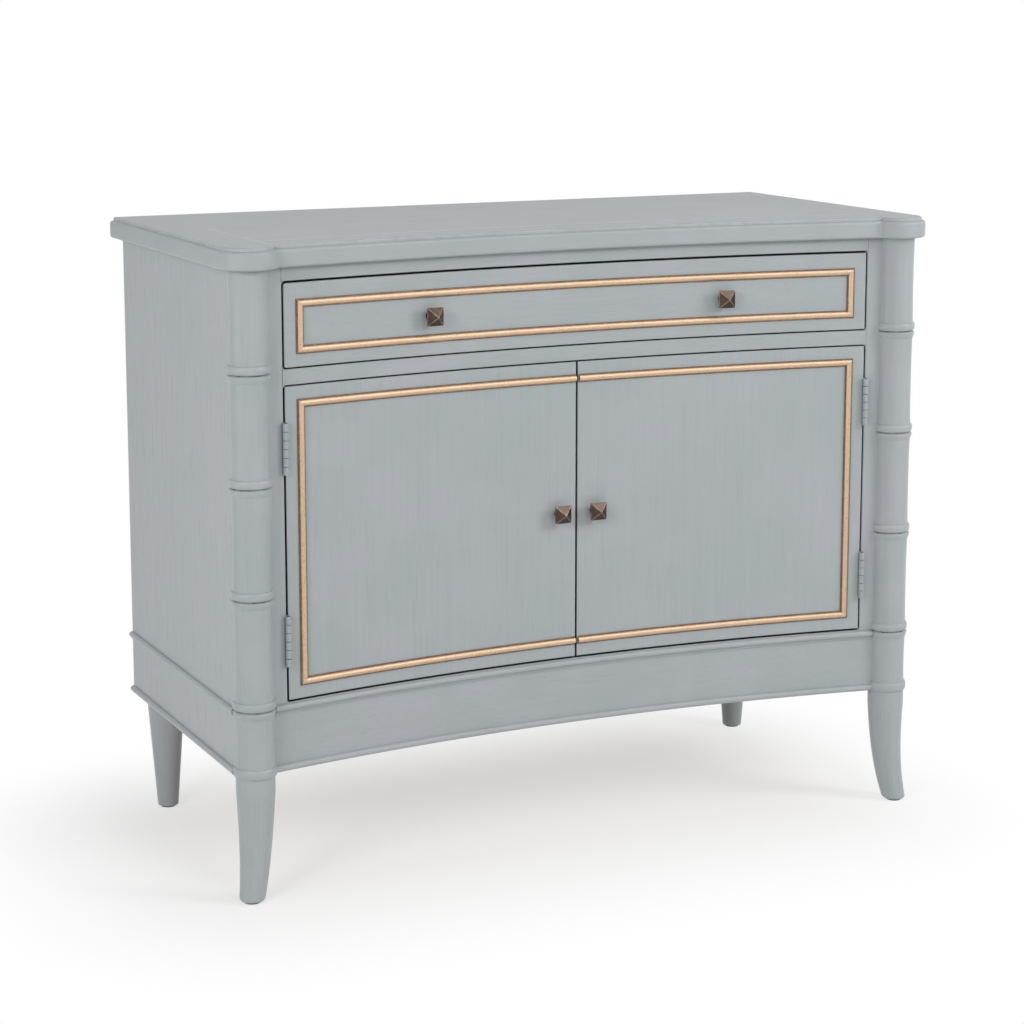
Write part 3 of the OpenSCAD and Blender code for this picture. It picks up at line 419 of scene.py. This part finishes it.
@dataclass(frozen=True)
class PaintedSteel(Finish):
    """Pressed steel hinge brushed over with the cabinet's own paint.

    It gives the eye the cabinet's grey with a harder gloss, dull metal where the knuckles rub, and painted
    near-black shade in the slits between the knuckles.
    """

    coat: str = "#A3AAAE"
    thin_coat: str = "#9AA1A5"
    metal: str = "#6E6D6B"
    # dark: painted shade, near-black, in the slits between the knuckles.
    dark: str = "#1B1A1A"
    slit_shade_reach: float = 3 * MM
    patch_w: float = 6 * MM
    arris: float = 0.35 * MM

    def wire(self, tree: Tree) -> Socket:
        """Adds the painted steel's nodes and gives the shader's output."""
        patchy = self.noise(tree, (1 / self.patch_w,) * 3, 1.9, 3.0)
        soft = put(tree, "ShaderNodeBevel", {"Radius": self.arris}, samples=4).outputs[0]
        true = put(tree, "ShaderNodeNewGeometry").outputs["Normal"]
        turn = put(tree, "ShaderNodeVectorMath", {0: soft, 1: true}, operation="DOT_PRODUCT").outputs["Value"]
        worn = self.math(tree, "MULTIPLY", self.remap(tree, turn, 0.97, 0.8),
                         self.remap(tree, patchy, 0.4, 0.6))
        tone = self.mix(tree, patchy, linear(self.coat), linear(self.thin_coat))
        colour = self.mix(tree, worn, tone, linear(self.metal))
        # Painted shade: near-black in the slits between the knuckles.
        painted_gap_shade = put(tree, "ShaderNodeAmbientOcclusion", {"Distance": self.slit_shade_reach}, samples=6).outputs["AO"]
        colour = self.mix(tree, self.remap(tree, painted_gap_shade, 0.5, 0.3), colour, linear(self.dark))
        return put(tree, "ShaderNodeBsdfPrincipled", {
            "Base Color": colour, "Metallic": self.math(tree, "MULTIPLY", worn, 0.8),
            "Roughness": self.remap(tree, patchy, 0.3, 0.7, 0.36, 0.46), "Normal": soft}).outputs[0]


@dataclass(frozen=True)
class PlanedPoplar(Finish):
    """Poplar board, planed and sealed with a matt lacquer.

    It gives the eye long grain bands of pale and mid brown, fine pores and almost no gloss.
    """

    grain: Grain = Grain.SIDE_TO_SIDE
    pale: str = "#C8A983"
    deep: str = "#A98258"
    pore: str = "#7C5C3C"
    band_w: float = 16 * MM
    band_l: float = 420 * MM
    pore_w: float = 0.9 * MM
    pore_l: float = 24 * MM
    arris: float = 0.5 * MM

    def wire(self, tree: Tree) -> Socket:
        """Adds the wood's nodes and gives the shader's output."""
        bands = self.noise(tree, stretched(self.grain, self.band_w, self.band_l), 2.7, 3.0, 1.2)
        pores = self.noise(tree, stretched(self.grain, self.pore_w, self.pore_l), 6.1, 2.0)
        colour = self.mix(tree, self.remap(tree, bands, 0.3, 0.7), linear(self.pale), linear(self.deep))
        colour = self.mix(tree, self.remap(tree, pores, 0.56, 0.74, 0.0, 0.45), colour, linear(self.pore))
        soft = put(tree, "ShaderNodeBevel", {"Radius": self.arris}, samples=4).outputs[0]
        bump = put(tree, "ShaderNodeBump", {
            "Strength": 0.3, "Distance": 0.08 * MM, "Height": pores, "Normal": soft}).outputs[0]
        return put(tree, "ShaderNodeBsdfPrincipled", {
            "Base Color": colour, "Roughness": self.remap(tree, pores, 0.3, 0.7, 0.55, 0.7), "IOR": 1.5,
            "Normal": bump}).outputs[0]


@dataclass(frozen=True)
class ZincSteel(Finish):
    """Turned steel with a thin zinc plating.

    It gives the eye a cool, slightly clouded metal with a medium sheen.
    """

    plate: str = "#B4B6B8"
    cloud: str = "#8F9294"
    cloud_w: float = 2 * MM

    def wire(self, tree: Tree) -> Socket:
        """Adds the plating's nodes and gives the shader's output."""
        cloud = self.noise(tree, (1 / self.cloud_w,) * 3, 5.5, 3.0)
        colour = self.mix(tree, cloud, linear(self.plate), linear(self.cloud))
        return put(tree, "ShaderNodeBsdfPrincipled", {
            "Base Color": colour, "Metallic": 1.0,
            "Roughness": self.remap(tree, cloud, 0.3, 0.7, 0.25, 0.42)}).outputs[0]


@dataclass(frozen=True)
class MouldedPlastic(Finish):
    """Brown polyethylene, moulded, with a fine spark-eroded grain.

    It gives the eye an even dark brown with a dull sheen.
    """

    brown: str = "#4A382C"
    deep: str = "#3E2F25"
    grit_w: float = 0.6 * MM

    def wire(self, tree: Tree) -> Socket:
        """Adds the plastic's nodes and gives the shader's output."""
        grit = self.noise(tree, (1 / self.grit_w,) * 3, 3.3, 1.0)
        colour = self.mix(tree, grit, linear(self.brown), linear(self.deep))
        bump = put(tree, "ShaderNodeBump", {
            "Strength": 0.3, "Distance": 0.05 * MM, "Height": grit}).outputs[0]
        return put(tree, "ShaderNodeBsdfPrincipled", {
            "Base Color": colour, "Roughness": self.remap(tree, grit, 0.3, 0.7, 0.45, 0.58),
            "Normal": bump}).outputs[0]


PAINT_UPRIGHT = BrushedPaint("satin_paint_upright", Grain.UPRIGHT)
PAINT_LEVEL = BrushedPaint("satin_paint_level", Grain.SIDE_TO_SIDE)
PAINT_DEPTH = BrushedPaint("satin_paint_front_to_back", Grain.FRONT_TO_BACK)
# On the top the pale arrises are wider and paler: painted highlight lines along the step and slab edges, partly
# also rubbed paint, and pale painted highlights along the seam joints.
TOP_LOOK = {"rubbed": "#D6DBDD", "wear_and_highlight_w": 4 * MM, "wear": 1.0, "sheen_rough": (0.33, 0.43), "seams": True}
PAINT_TOP = BrushedPaint("satin_paint_top", Grain.SIDE_TO_SIDE, **TOP_LOOK)
PAINT_TOP_END = BrushedPaint("satin_paint_top_end", Grain.FRONT_TO_BACK, **TOP_LOOK)
PAINT_STILE = BrushedPaint("satin_paint_stile", Grain.UPRIGHT, arris=0.0)
PAINT_RAIL = BrushedPaint("satin_paint_rail", Grain.SIDE_TO_SIDE, arris=0.0)
PAINT_COLUMN = BrushedPaint("satin_paint_column", Grain.UPRIGHT, node_heights=(0.263, 0.413, 0.563, 0.713))
GOLD = AntiqueGold("antique_gold_leaf")
BRONZE = AgedBronze("aged_bronze")
HINGE = PaintedSteel("painted_hinge_steel")
POPLAR_LEVEL = PlanedPoplar("poplar_level", Grain.SIDE_TO_SIDE)
POPLAR_DEPTH = PlanedPoplar("poplar_front_to_back", Grain.FRONT_TO_BACK)
POPLAR_UPRIGHT = PlanedPoplar("poplar_upright", Grain.UPRIGHT)
STEEL = ZincSteel("zinc_plated_steel")
OILED = ZincSteel("oiled_pin_steel", plate="#3A3735", cloud="#262423")
PLASTIC = MouldedPlastic("brown_moulded_plastic")


@dataclass
class Assembly:
    """A sub-assembly of the cabinet, and the body that it rides on."""

    name: str
    body: Body

    def build(self) -> None:
        """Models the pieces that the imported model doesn't have, and dresses them all."""
        raise NotImplementedError

    def dress(self, finish: Finish, *nodes: str) -> None:
        """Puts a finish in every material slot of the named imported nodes."""
        for name in nodes:
            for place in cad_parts[name].material_slots:
                place.material = finish.material()

    def piece(self, name: str, bm: bmesh.types.BMesh, finish: Finish, slot: str) -> bpy.types.Object:
        """Makes a piece from a bmesh, with its place in its mesh, and lets it ride on the body.

        Args:
            name: the piece's name.
            bm: the modelled shape, which is freed here.
            finish: what it is finished with.
            slot: the record's material slot; not used.

        Returns:
            The piece's object.
        """
        bmesh.ops.recalc_face_normals(bm, faces=bm.faces)
        mesh = bpy.data.meshes.new(name)
        bm.to_mesh(mesh)
        bm.free()
        mesh.materials.append(finish.material())
        made = bpy.data.objects.new(name, mesh)
        bpy.context.scene.collection.objects.link(made)
        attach(made, self.body.value)
        log.info("%s: %s, %d faces", self.name, name, len(mesh.polygons))
        return made


@dataclass(frozen=True)
class ConcaveFront:
    """The curve of the front, an arc about an upright axis that stands in front of the cabinet."""

    radius: float = BOW_RADIUS
    centre_y: float = BOW_CENTRE_Y

    def on_face(self, x: float, z: float) -> Matrix:
        """Gives the placing that puts a local Z axis square to the face, pointing out of it.

        Args:
            x: distance from the cabinet's middle.
            z: height over the floor.

        Returns:
            The placing's matrix.
        """
        y = self.centre_y + math.sqrt(self.radius**2 - x**2)
        upright = Matrix.Rotation(math.radians(90), 4, "X")
        turn = Matrix.Rotation(-math.asin(x / self.radius), 4, "Z") @ upright
        return Matrix.Translation((x, y, z)) @ turn


@dataclass(frozen=True)
class SquareKnob:
    """A cast knob: a round foot and neck under a square head with a low pyramid on it."""

    RUB = "rub"

    width: float = 25 * MM
    rim_out: float = 14.5 * MM
    rim_t: float = 2 * MM
    out: float = 24 * MM
    foot_r: float = 7.5 * MM
    foot_t: float = 1.5 * MM
    neck_r: float = 5 * MM
    neck_out: float = 6.5 * MM
    neck_flare: float = 1.5 * MM
    edge: float = 0.3 * MM
    arris: float = 0.45 * MM
    sides: int = 32
    arc_steps: int = 6

    def head(self, bm: bmesh.types.BMesh) -> list[bmesh.types.BMEdge]:
        """Models the square head, open below, with its arrises rounded.

        Args:
            bm: the bmesh to add to.

        Returns:
            The edges round the opening.
        """
        layer = bm.faces.layers.float.new(self.RUB)
        half = self.width / 2
        bmesh.ops.create_cone(bm, cap_ends=True, segments=4, radius1=half * math.sqrt(2), radius2=0,
                              depth=self.out - self.rim_out,
                              matrix=Matrix.Translation((0, 0, (self.out + self.rim_out) / 2))
                              @ Matrix.Rotation(math.radians(45), 4, "Z"))
        below = [f for f in bm.faces if f.calc_center_median().z < self.rim_out + SNAP]
        grown = bmesh.ops.extrude_face_region(bm, geom=below)
        moved = [v for v in grown["geom"] if isinstance(v, bmesh.types.BMVert)]
        bmesh.ops.translate(bm, verts=moved, vec=(0, 0, -self.rim_t))
        bmesh.ops.delete(bm, geom=[f for f in below if f.is_valid], context="FACES_ONLY")
        bmesh.ops.remove_doubles(bm, verts=bm.verts, dist=WELD)
        bmesh.ops.dissolve_limit(bm, angle_limit=0.01, verts=bm.verts, edges=bm.edges)
        rounded = bmesh.ops.bevel(bm, geom=bm.edges[:], offset=self.arris, segments=3, profile=0.5,
                                  affect="EDGES", material=-1)
        for face in rounded["faces"]:
            face[layer] = 1.0
        lowest = min(v.co.z for v in bm.verts)
        under = [f for f in bm.faces if all(v.co.z < lowest + SNAP for v in f.verts)]
        rim = {e for f in under for e in f.edges if any(o not in under for o in e.link_faces)}
        bmesh.ops.delete(bm, geom=under, context="FACES_ONLY")
        return list(rim)

    def stem(self, bm: bmesh.types.BMesh) -> list[bmesh.types.BMEdge]:
        """Turns the foot and the neck about the knob's axis.

        Args:
            bm: the bmesh to add to.

        Returns:
            The edges round the stem's top.
        """
        rim_z = self.rim_out - self.rim_t
        line = [(0.0, 0.0), (self.foot_r - self.edge, 0.0), (self.foot_r, self.edge),
                (self.foot_r, self.foot_t - self.edge), (self.foot_r - self.edge, self.foot_t)]
        for step in range(self.arc_steps + 1):
            a = math.radians(90 / self.arc_steps * step)
            line.append((self.neck_r + self.neck_flare * (1 - math.sin(a)),
                         self.foot_t + (self.neck_out - self.foot_t) * (1 - math.cos(a))))
        for step in range(1, self.arc_steps + 1):
            a = math.radians(90 / self.arc_steps * step)
            line.append((self.neck_r + (self.foot_r - self.neck_r) * (1 - math.cos(a)),
                         self.neck_out + (rim_z - self.neck_out) * math.sin(a)))
        verts = [bm.verts.new((r, 0, z)) for r, z in line]
        edges = [bm.edges.new(pair) for pair in zip(verts, verts[1:])]
        bmesh.ops.spin(bm, geom=verts + edges, cent=(0, 0, 0), axis=(0, 0, 1), angle=math.tau,
                       steps=self.sides, use_merge=True)
        bmesh.ops.remove_doubles(bm, verts=bm.verts, dist=WELD)
        return [e for e in bm.edges if len(e.link_faces) == 1
                and all(abs(v.co.z - rim_z) < SNAP for v in e.verts)
                and all(math.hypot(v.co.x, v.co.y) < self.foot_r + SNAP for v in e.verts)]

    def model(self, place: Matrix) -> bmesh.types.BMesh:
        """Models one knob.

        Args:
            place: puts its foot on a face, with Z pointing out.

        Returns:
            The finished shape.
        """
        bm = bmesh.new()
        rim = self.head(bm)
        top = self.stem(bm)
        bmesh.ops.bridge_loops(bm, edges=rim + top)
        for face in bm.faces:
            face.smooth = face.calc_center_median().z < self.rim_out - self.rim_t - SNAP
        bmesh.ops.transform(bm, matrix=place, verts=bm.verts)
        return bm


@dataclass(frozen=True)
class ScrewHead:
    """A flat countersunk screw head with a cross recess."""

    radius: float = 3.2 * MM
    rise: float = 0.2 * MM
    depth: float = 1.0 * MM
    arm_w: float = 0.45 * MM
    arm_l: float = 1.9 * MM
    recess: float = 0.7 * MM
    draft: float = 0.06 * MM
    edge: float = 0.12 * MM
    taper: float = 0.6
    sides: int = 24

    def add(self, bm: bmesh.types.BMesh, place: Matrix) -> None:
        """Adds one head to a bmesh.

        Args:
            bm: the bmesh to add to.
            place: puts the head on a face, with Z pointing out of it.
        """
        head = bmesh.new()
        bmesh.ops.create_cone(head, cap_ends=True, segments=self.sides, radius1=self.radius * self.taper,
                              radius2=self.radius, depth=self.depth,
                              matrix=Matrix.Translation((0, 0, self.rise - self.depth / 2)))
        top = [f for f in head.faces if f.calc_center_median().z > self.rise - SNAP]
        rim = [e for f in top for e in f.edges]
        bmesh.ops.bevel(head, geom=rim, offset=self.edge, segments=2, profile=0.5, affect="EDGES",
                        material=-1)
        for axis in range(2):
            for cut in (-self.arm_l, -self.arm_w, self.arm_w, self.arm_l):
                face = [f for f in head.faces
                        if f.normal.z > 0.99 and f.calc_center_median().z > self.rise - SNAP]
                parts = list({g for f in face for g in (f, *f.edges, *f.verts)})
                side = Vector((axis == 0, axis == 1, 0))
                bmesh.ops.bisect_plane(head, geom=parts, plane_co=side * cut, plane_no=side)
        cross = [f for f in head.faces if f.normal.z > 0.99 and self.in_cross(f.calc_center_median())]
        bmesh.ops.inset_region(head, faces=cross, thickness=self.draft, depth=-self.recess,
                               use_even_offset=True)
        bmesh.ops.transform(head, matrix=place, verts=head.verts)
        mesh = bpy.data.meshes.new("screw_head")
        head.to_mesh(mesh)
        head.free()
        bm.from_mesh(mesh)
        bpy.data.meshes.remove(mesh)

    def in_cross(self, spot: Vector) -> bool:
        """Tells whether a spot on the head's top lies in its cross recess."""
        near, far = sorted((abs(spot.x), abs(spot.y)))
        return near < self.arm_w and far < self.arm_l


@dataclass
class TopBoard(Assembly):
    """The moulded top: its field, its front border and its two ends."""

    def build(self) -> None:
        """Dresses the field and the front border from side to side, and the ends from front to back."""
        self.dress(PAINT_TOP, "top_field_panel", "top_front_border")
        self.dress(PAINT_TOP_END, "top_end_left", "top_end_right")


@dataclass
class Carcass(Assembly):
    """The sides, columns, legs, stiles, rails, apron and beads."""

    def build(self) -> None:
        """Dresses each piece with its strokes along its length."""
        for side in ("left", "right"):
            self.dress(PAINT_UPRIGHT, f"side_panel_{side}", f"front_leg_{side}", f"rear_leg_{side}",
                       f"rear_post_{side}")
            self.dress(PAINT_STILE, f"stile_{side}")
            self.dress(PAINT_COLUMN, f"corner_column_{side}")
            self.dress(PAINT_DEPTH, f"side_beads_{side}")
        self.dress(PAINT_RAIL, "top_rail", "middle_rail", "front_apron")
        self.dress(PAINT_LEVEL, "apron_upper_bead", "apron_lower_bead", "rear_bottom_rail")
        self.dress(PLASTIC, "foot_glides")


@dataclass
class Openings(Assembly):
    """The rounded inner corners of the drawer's opening and of the doors' opening."""

    curve: ConcaveFront = ConcaveFront()
    half: float = 452.5 * MM
    levels: tuple[tuple[float, int], ...] = (
        (264.5 * MM, 1), (693.5 * MM, -1), (714.5 * MM, 1), (831 * MM, -1))
    radius: float = 5 * MM
    depth: float = 18 * MM
    sunk: float = 0.05 * MM
    steps: int = 6

    def build(self) -> None:
        """Models the eight fillets as one piece, flush with the curved face."""
        bm = bmesh.new()
        for side in (-1, 1):
            for level, up in self.levels:
                self.fillet(bm, side, level, up)
        self.piece("opening_corner_fillets", bm, PAINT_RAIL, "painted_wood")

    def fillet(self, bm: bmesh.types.BMesh, side: int, level: float, up: int) -> None:
        """Adds the fillet of one corner.

        Args:
            bm: the bmesh to add to.
            side: -1 for the left side of the opening, 1 for the right.
            level: the height of the rail at the corner.
            up: 1 where the opening lies over the rail, -1 where it lies under it.
        """
        x, z = side * (self.half - self.radius), level + up * self.radius
        first = bm.verts.new((x + side * self.radius, 0, z))
        turned = bmesh.ops.spin(bm, geom=[first], cent=(x, 0, z), axis=(0, side * up, 0), angle=math.pi / 2,
                                steps=self.steps)
        last = next(v for v in turned["geom_last"] if isinstance(v, bmesh.types.BMVert))
        corner = bm.verts.new((x + side * self.radius, 0, level))
        arc = [e for e in bm.edges if not e.link_faces]
        legs = [bm.edges.new((corner, first)), bm.edges.new((last, corner))]
        face = bmesh.ops.edgeloop_fill(bm, edges=arc + legs)["faces"]
        grown = bmesh.ops.extrude_face_region(bm, geom=face, use_keep_orig=True)["geom"]
        back = [v for v in grown if isinstance(v, bmesh.types.BMVert)]
        bmesh.ops.translate(bm, verts=back, vec=(0, self.depth, 0))
        for vert in {v for f in face for v in f.verts} | set(back):
            vert.co.y += self.curve.centre_y + math.sqrt(self.curve.radius**2 - vert.co.x**2) + self.sunk


@dataclass
class Inside(Assembly):
    """The cupboard's floor, shelf, dust panel and catches, and what the drawer runs on."""

    def build(self) -> None:
        """Dresses the pieces inside the cabinet."""
        self.dress(POPLAR_LEVEL, "cabinet_floor", "shelf", "dust_panel", "rear_top_rail")
        self.dress(POPLAR_DEPTH, "floor_cleats", "drawer_runner_left", "drawer_runner_right", "drawer_kickers")
        self.dress(STEEL, "shelf_pins")
        self.dress(PLASTIC, "door_catches")


@dataclass
class Back(Assembly):
    """The thin back panel and the screws that hold it to the posts and rails."""

    face_y: float = 236 * MM
    columns: tuple[float, ...] = (-487 * MM, -245 * MM, 0.0, 245 * MM, 487 * MM)
    rows: tuple[float, ...] = (256 * MM, 402 * MM, 548 * MM, 694 * MM, 840 * MM)
    head: ScrewHead = ScrewHead(radius=3.5 * MM, rise=0.5 * MM, depth=1.2 * MM)

    def build(self) -> None:
        """Models the screws round the panel and dresses the panel."""
        self.dress(POPLAR_UPRIGHT, "back_panel")
        bm = bmesh.new()
        for x in self.columns:
            for z in self.rows:
                if x in (self.columns[0], self.columns[-1]) or z in (self.rows[0], self.rows[-1]):
                    turn = Matrix.Rotation(math.radians(-90), 4, "X") @ Matrix.Rotation(7 * x + 5 * z, 4, "Z")
                    self.head.add(bm, Matrix.Translation((x, self.face_y, z)) @ turn)
        self.piece("back_panel_screws", bm, STEEL, "steel")


@dataclass
class Hinges(Assembly):
    """The leaves of the butt hinges on one body, and their screws."""

    leaves: tuple[str, ...] = ()
    pins: tuple[str, ...] = ()
    screws: str = ""
    sides: tuple[int, ...] = (1,)
    outward: int = -1
    face: float = 0.3 * MM
    pin_x: float = 451 * MM
    screw_y: float = -203.7 * MM
    feet: tuple[float, ...] = (314.5 * MM, 574.5 * MM)
    length: float = 70 * MM
    head: ScrewHead = ScrewHead()

    def build(self) -> None:
        """Models the screws on the leaves and dresses the leaves."""
        self.dress(HINGE, *self.leaves)
        self.dress(OILED, *self.pins)
        bm = bmesh.new()
        for side in self.sides:
            for foot in self.feet:
                for share in (1 / 6, 1 / 2, 5 / 6):
                    z = foot + self.length * share
                    turn = Matrix.Rotation(math.radians(90 * side * self.outward), 4, "Y")
                    twist = Matrix.Rotation(11 * share + 3 * foot, 4, "Z")
                    spot = Matrix.Translation((side * (self.pin_x + self.face), self.screw_y, z))
                    self.head.add(bm, spot @ turn @ twist)
        self.piece(self.screws, bm, HINGE, "painted_hinge")


@dataclass
class Drawer(Assembly):
    """The drawer: its curved front, gilt rectangle, box and two knobs."""

    knob: SquareKnob = SquareKnob()
    curve: ConcaveFront = ConcaveFront()
    knob_x: float = 228 * MM
    knob_z: float = 770 * MM

    def build(self) -> None:
        """Models the knobs and dresses the drawer."""
        self.dress(PAINT_LEVEL, "drawer_front")
        self.dress(GOLD, "drawer_trim")
        self.dress(POPLAR_DEPTH, "drawer_side_left", "drawer_side_right")
        self.dress(POPLAR_LEVEL, "drawer_back", "drawer_bottom")
        self.dress(STEEL, "drawer_knob_screws")
        for side, name in ((-1, "left"), (1, "right")):
            bm = self.knob.model(self.curve.on_face(side * self.knob_x, self.knob_z))
            made = self.piece(f"pyramid_knob_drawer_{name}", bm, BRONZE, "bronze")
            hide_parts(f"drawer_knob_{name}")


@dataclass
class Door(Assembly):
    """One curved door with its gilt U, knob, hinge leaves and strike plate."""

    side: int = 1
    knob: SquareKnob = SquareKnob()
    curve: ConcaveFront = ConcaveFront()
    knob_x: float = 28 * MM
    knob_z: float = 478 * MM

    def build(self) -> None:
        """Models the knob and the hinges' screws, and dresses the door."""
        door = self.body.value
        self.dress(PAINT_UPRIGHT, door)
        self.dress(GOLD, f"{door}_trim")
        self.dress(STEEL, f"{door}_knob_screw", f"{door}_strike")
        bm = self.knob.model(self.curve.on_face(self.side * self.knob_x, self.knob_z))
        made = self.piece(f"pyramid_knob_{door}", bm, BRONZE, "bronze")
        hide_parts(f"{door}_knob")
        Hinges(f"{self.name}, hinges", self.body, leaves=(f"{door}_hinge_leaves",),
               screws=f"{door}_hinge_screws", sides=(self.side,), outward=1, face=-0.3 * MM).build()


@dataclass(frozen=True)
class SoftBox:
    """A lamp: its place, its width and height in metres, and its power in watts."""

    name: str
    place: tuple[float, float, float]
    width: float
    height: float
    power: float


@dataclass
class Studio:
    """A plain white studio: a pale floor, soft lamps and the camera of the photograph."""

    floor_half: float = 40.0
    white: float = 1.0
    paper: str = "#F8F8F7"
    sky: float = 0.28
    camera_place: tuple[float, float, float] = (-1.5937, -3.3091, 1.2082)
    camera_turn: tuple[float, float, float] = (90 - 9.440, 0.0, -25.457)
    lens: float = 89.29
    sensor: float = 36.0
    shift_y: float = -0.10
    footprint: tuple[float, float, float] = (0.40, 0.15, 0.0)
    shadow_centre: tuple[float, float, float] = (-0.08, -0.03, 0.0)
    shadow_reach: float = 0.42
    shadow_share: float = 0.57
    aim: tuple[float, float, float] = (0.0, 0.0, 0.5)
    lamps: tuple[SoftBox, ...] = (
        SoftBox("key_from_left", (-2.48, -1.68, 1.6), 0.9, 0.9, 28.5),
        SoftBox("strip_from_left", (-2.6, -0.6, 0.7), 0.45, 1.3, 5.0),
        SoftBox("front", (0.0, -3.2, 2.2), 0.9, 0.9, 17.5),
        SoftBox("overhead", (1.3, -1.5, 2.85), 0.8, 0.8, 9.0),
        SoftBox("from_right", (2.11, -1.84, 1.6), 0.9, 0.9, 28.5),
        SoftBox("from_behind", (1.6, 2.8, 0.35), 0.8, 0.8, 9.0),
    )

    def build(self) -> None:
        """Sets the world, the floor, the lamps and the camera."""
        scene = bpy.context.scene
        scene.view_settings.view_transform = "Standard"
        self.surround(scene)
        self.floor(scene)
        for box in self.lamps:
            self.lamp(scene, box)
        data = bpy.data.cameras.new("camera")
        data.lens = self.lens
        data.sensor_width = self.sensor
        data.shift_y = self.shift_y
        camera = bpy.data.objects.new("camera", data)
        camera.location = self.camera_place
        camera.rotation_euler = [math.radians(a) for a in self.camera_turn]
        scene.collection.objects.link(camera)
        scene.camera = camera

    def seen_straight(self, tree: Tree) -> Socket:
        """Gives 1 where a ray comes from the camera, a mirror or glass, and 0 where it gathers light."""
        path = put(tree, "ShaderNodeLightPath").outputs
        seen = put(tree, "ShaderNodeMath", {
            0: path["Is Camera Ray"], 1: path["Is Glossy Ray"]}, operation="MAXIMUM")
        both = put(tree, "ShaderNodeMath", {
            0: seen.outputs[0], 1: path["Is Transmission Ray"]}, operation="MAXIMUM")
        return both.outputs[0]

    def surround(self, scene: bpy.types.Scene) -> None:
        """Makes the world white to look at, and a weaker, even light on the object."""
        world = bpy.data.worlds.new("white_studio")
        world.use_nodes = True
        tree = world.node_tree
        tree.nodes.clear()
        power = put(tree, "ShaderNodeMapRange", {
            "Value": self.seen_straight(tree), "To Min": self.sky, "To Max": self.white})
        light = put(tree, "ShaderNodeBackground", {"Color": (1, 1, 1, 1), "Strength": power.outputs[0]})
        put(tree, "ShaderNodeOutputWorld", {"Surface": light.outputs[0]})
        scene.world = world

    def floor(self, scene: bpy.types.Scene) -> None:
        """Lays a white floor that keeps a soft share of the cabinet's shadow."""
        bm = bmesh.new()
        bmesh.ops.create_grid(bm, x_segments=8, y_segments=8, size=self.floor_half)
        mesh = bpy.data.meshes.new("studio_floor")
        bm.to_mesh(mesh)
        bm.free()
        paper = bpy.data.materials.new("white_paper")
        paper.use_nodes = True
        tree = paper.node_tree
        tree.nodes.clear()
        matt = put(tree, "ShaderNodeBsdfDiffuse", {"Color": linear(self.paper)})
        glow = put(tree, "ShaderNodeEmission", {"Color": (1, 1, 1, 1), "Strength": self.white})
        place = put(tree, "ShaderNodeTexCoord").outputs["Object"]
        about = put(tree, "ShaderNodeVectorMath", {0: place, 1: self.shadow_centre}, operation="SUBTRACT")
        plan = put(tree, "ShaderNodeVectorMath", {0: about.outputs[0]}, operation="ABSOLUTE")
        beyond = put(tree, "ShaderNodeVectorMath", {
            0: plan.outputs[0], 1: self.footprint}, operation="SUBTRACT")
        outside = put(tree, "ShaderNodeVectorMath", {
            0: beyond.outputs[0], 1: (0.0, 0.0, 0.0)}, operation="MAXIMUM")
        away = put(tree, "ShaderNodeVectorMath", {0: outside.outputs[0]}, operation="LENGTH")
        near = put(tree, "ShaderNodeMapRange", {
            "Value": away.outputs["Value"], "From Min": 0.0, "From Max": self.shadow_reach,
            "To Min": self.shadow_share, "To Max": 1.0}, interpolation_type="SMOOTHSTEP")
        seen = self.seen_straight(tree)
        share = put(tree, "ShaderNodeMath", {0: near.outputs[0], 1: seen}, operation="MULTIPLY")
        both = put(tree, "ShaderNodeMixShader", {0: share.outputs[0], 1: matt.outputs[0], 2: glow.outputs[0]})
        put(tree, "ShaderNodeOutputMaterial", {"Surface": both.outputs[0]})
        mesh.materials.append(paper)
        made = bpy.data.objects.new("studio_floor", mesh)
        scene.collection.objects.link(made)

    def lamp(self, scene: bpy.types.Scene, box: SoftBox) -> None:
        """Hangs a soft box that faces the cabinet.

        Args:
            scene: the scene to hang it in.
            box: its name, place, size and power.
        """
        data = bpy.data.lights.new(box.name, "AREA")
        data.shape = "RECTANGLE"
        data.size = box.width
        data.size_y = box.height
        data.energy = box.power
        made = bpy.data.objects.new(box.name, data)
        made.location = box.place
        made.rotation_euler = (Vector(box.place) - Vector(self.aim)).to_track_quat("Z", "Y").to_euler()
        scene.collection.objects.link(made)


def main() -> None:
    """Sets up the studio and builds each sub-assembly."""
    logging.basicConfig(level=logging.INFO, format="%(message)s")
    Studio().build()
    parts = (
        TopBoard("top", Body.CARCASS),
        Carcass("carcass", Body.CARCASS),
        Openings("openings", Body.CARCASS),
        Inside("inside", Body.CARCASS),
        Back("back", Body.CARCASS),
        Hinges("frame hinges", Body.CARCASS, leaves=("frame_hinge_leaves",), pins=("hinge_pins",),
               screws="frame_hinge_screws", sides=(-1, 1)),
        Drawer("drawer", Body.DRAWER),
        Door("left door", Body.LEFT_DOOR, side=-1),
        Door("right door", Body.RIGHT_DOOR, side=1),
    )
    for part in parts:
        part.build()
        log.info("%s is done", part.name)


if __name__ == "__main__":
    main()
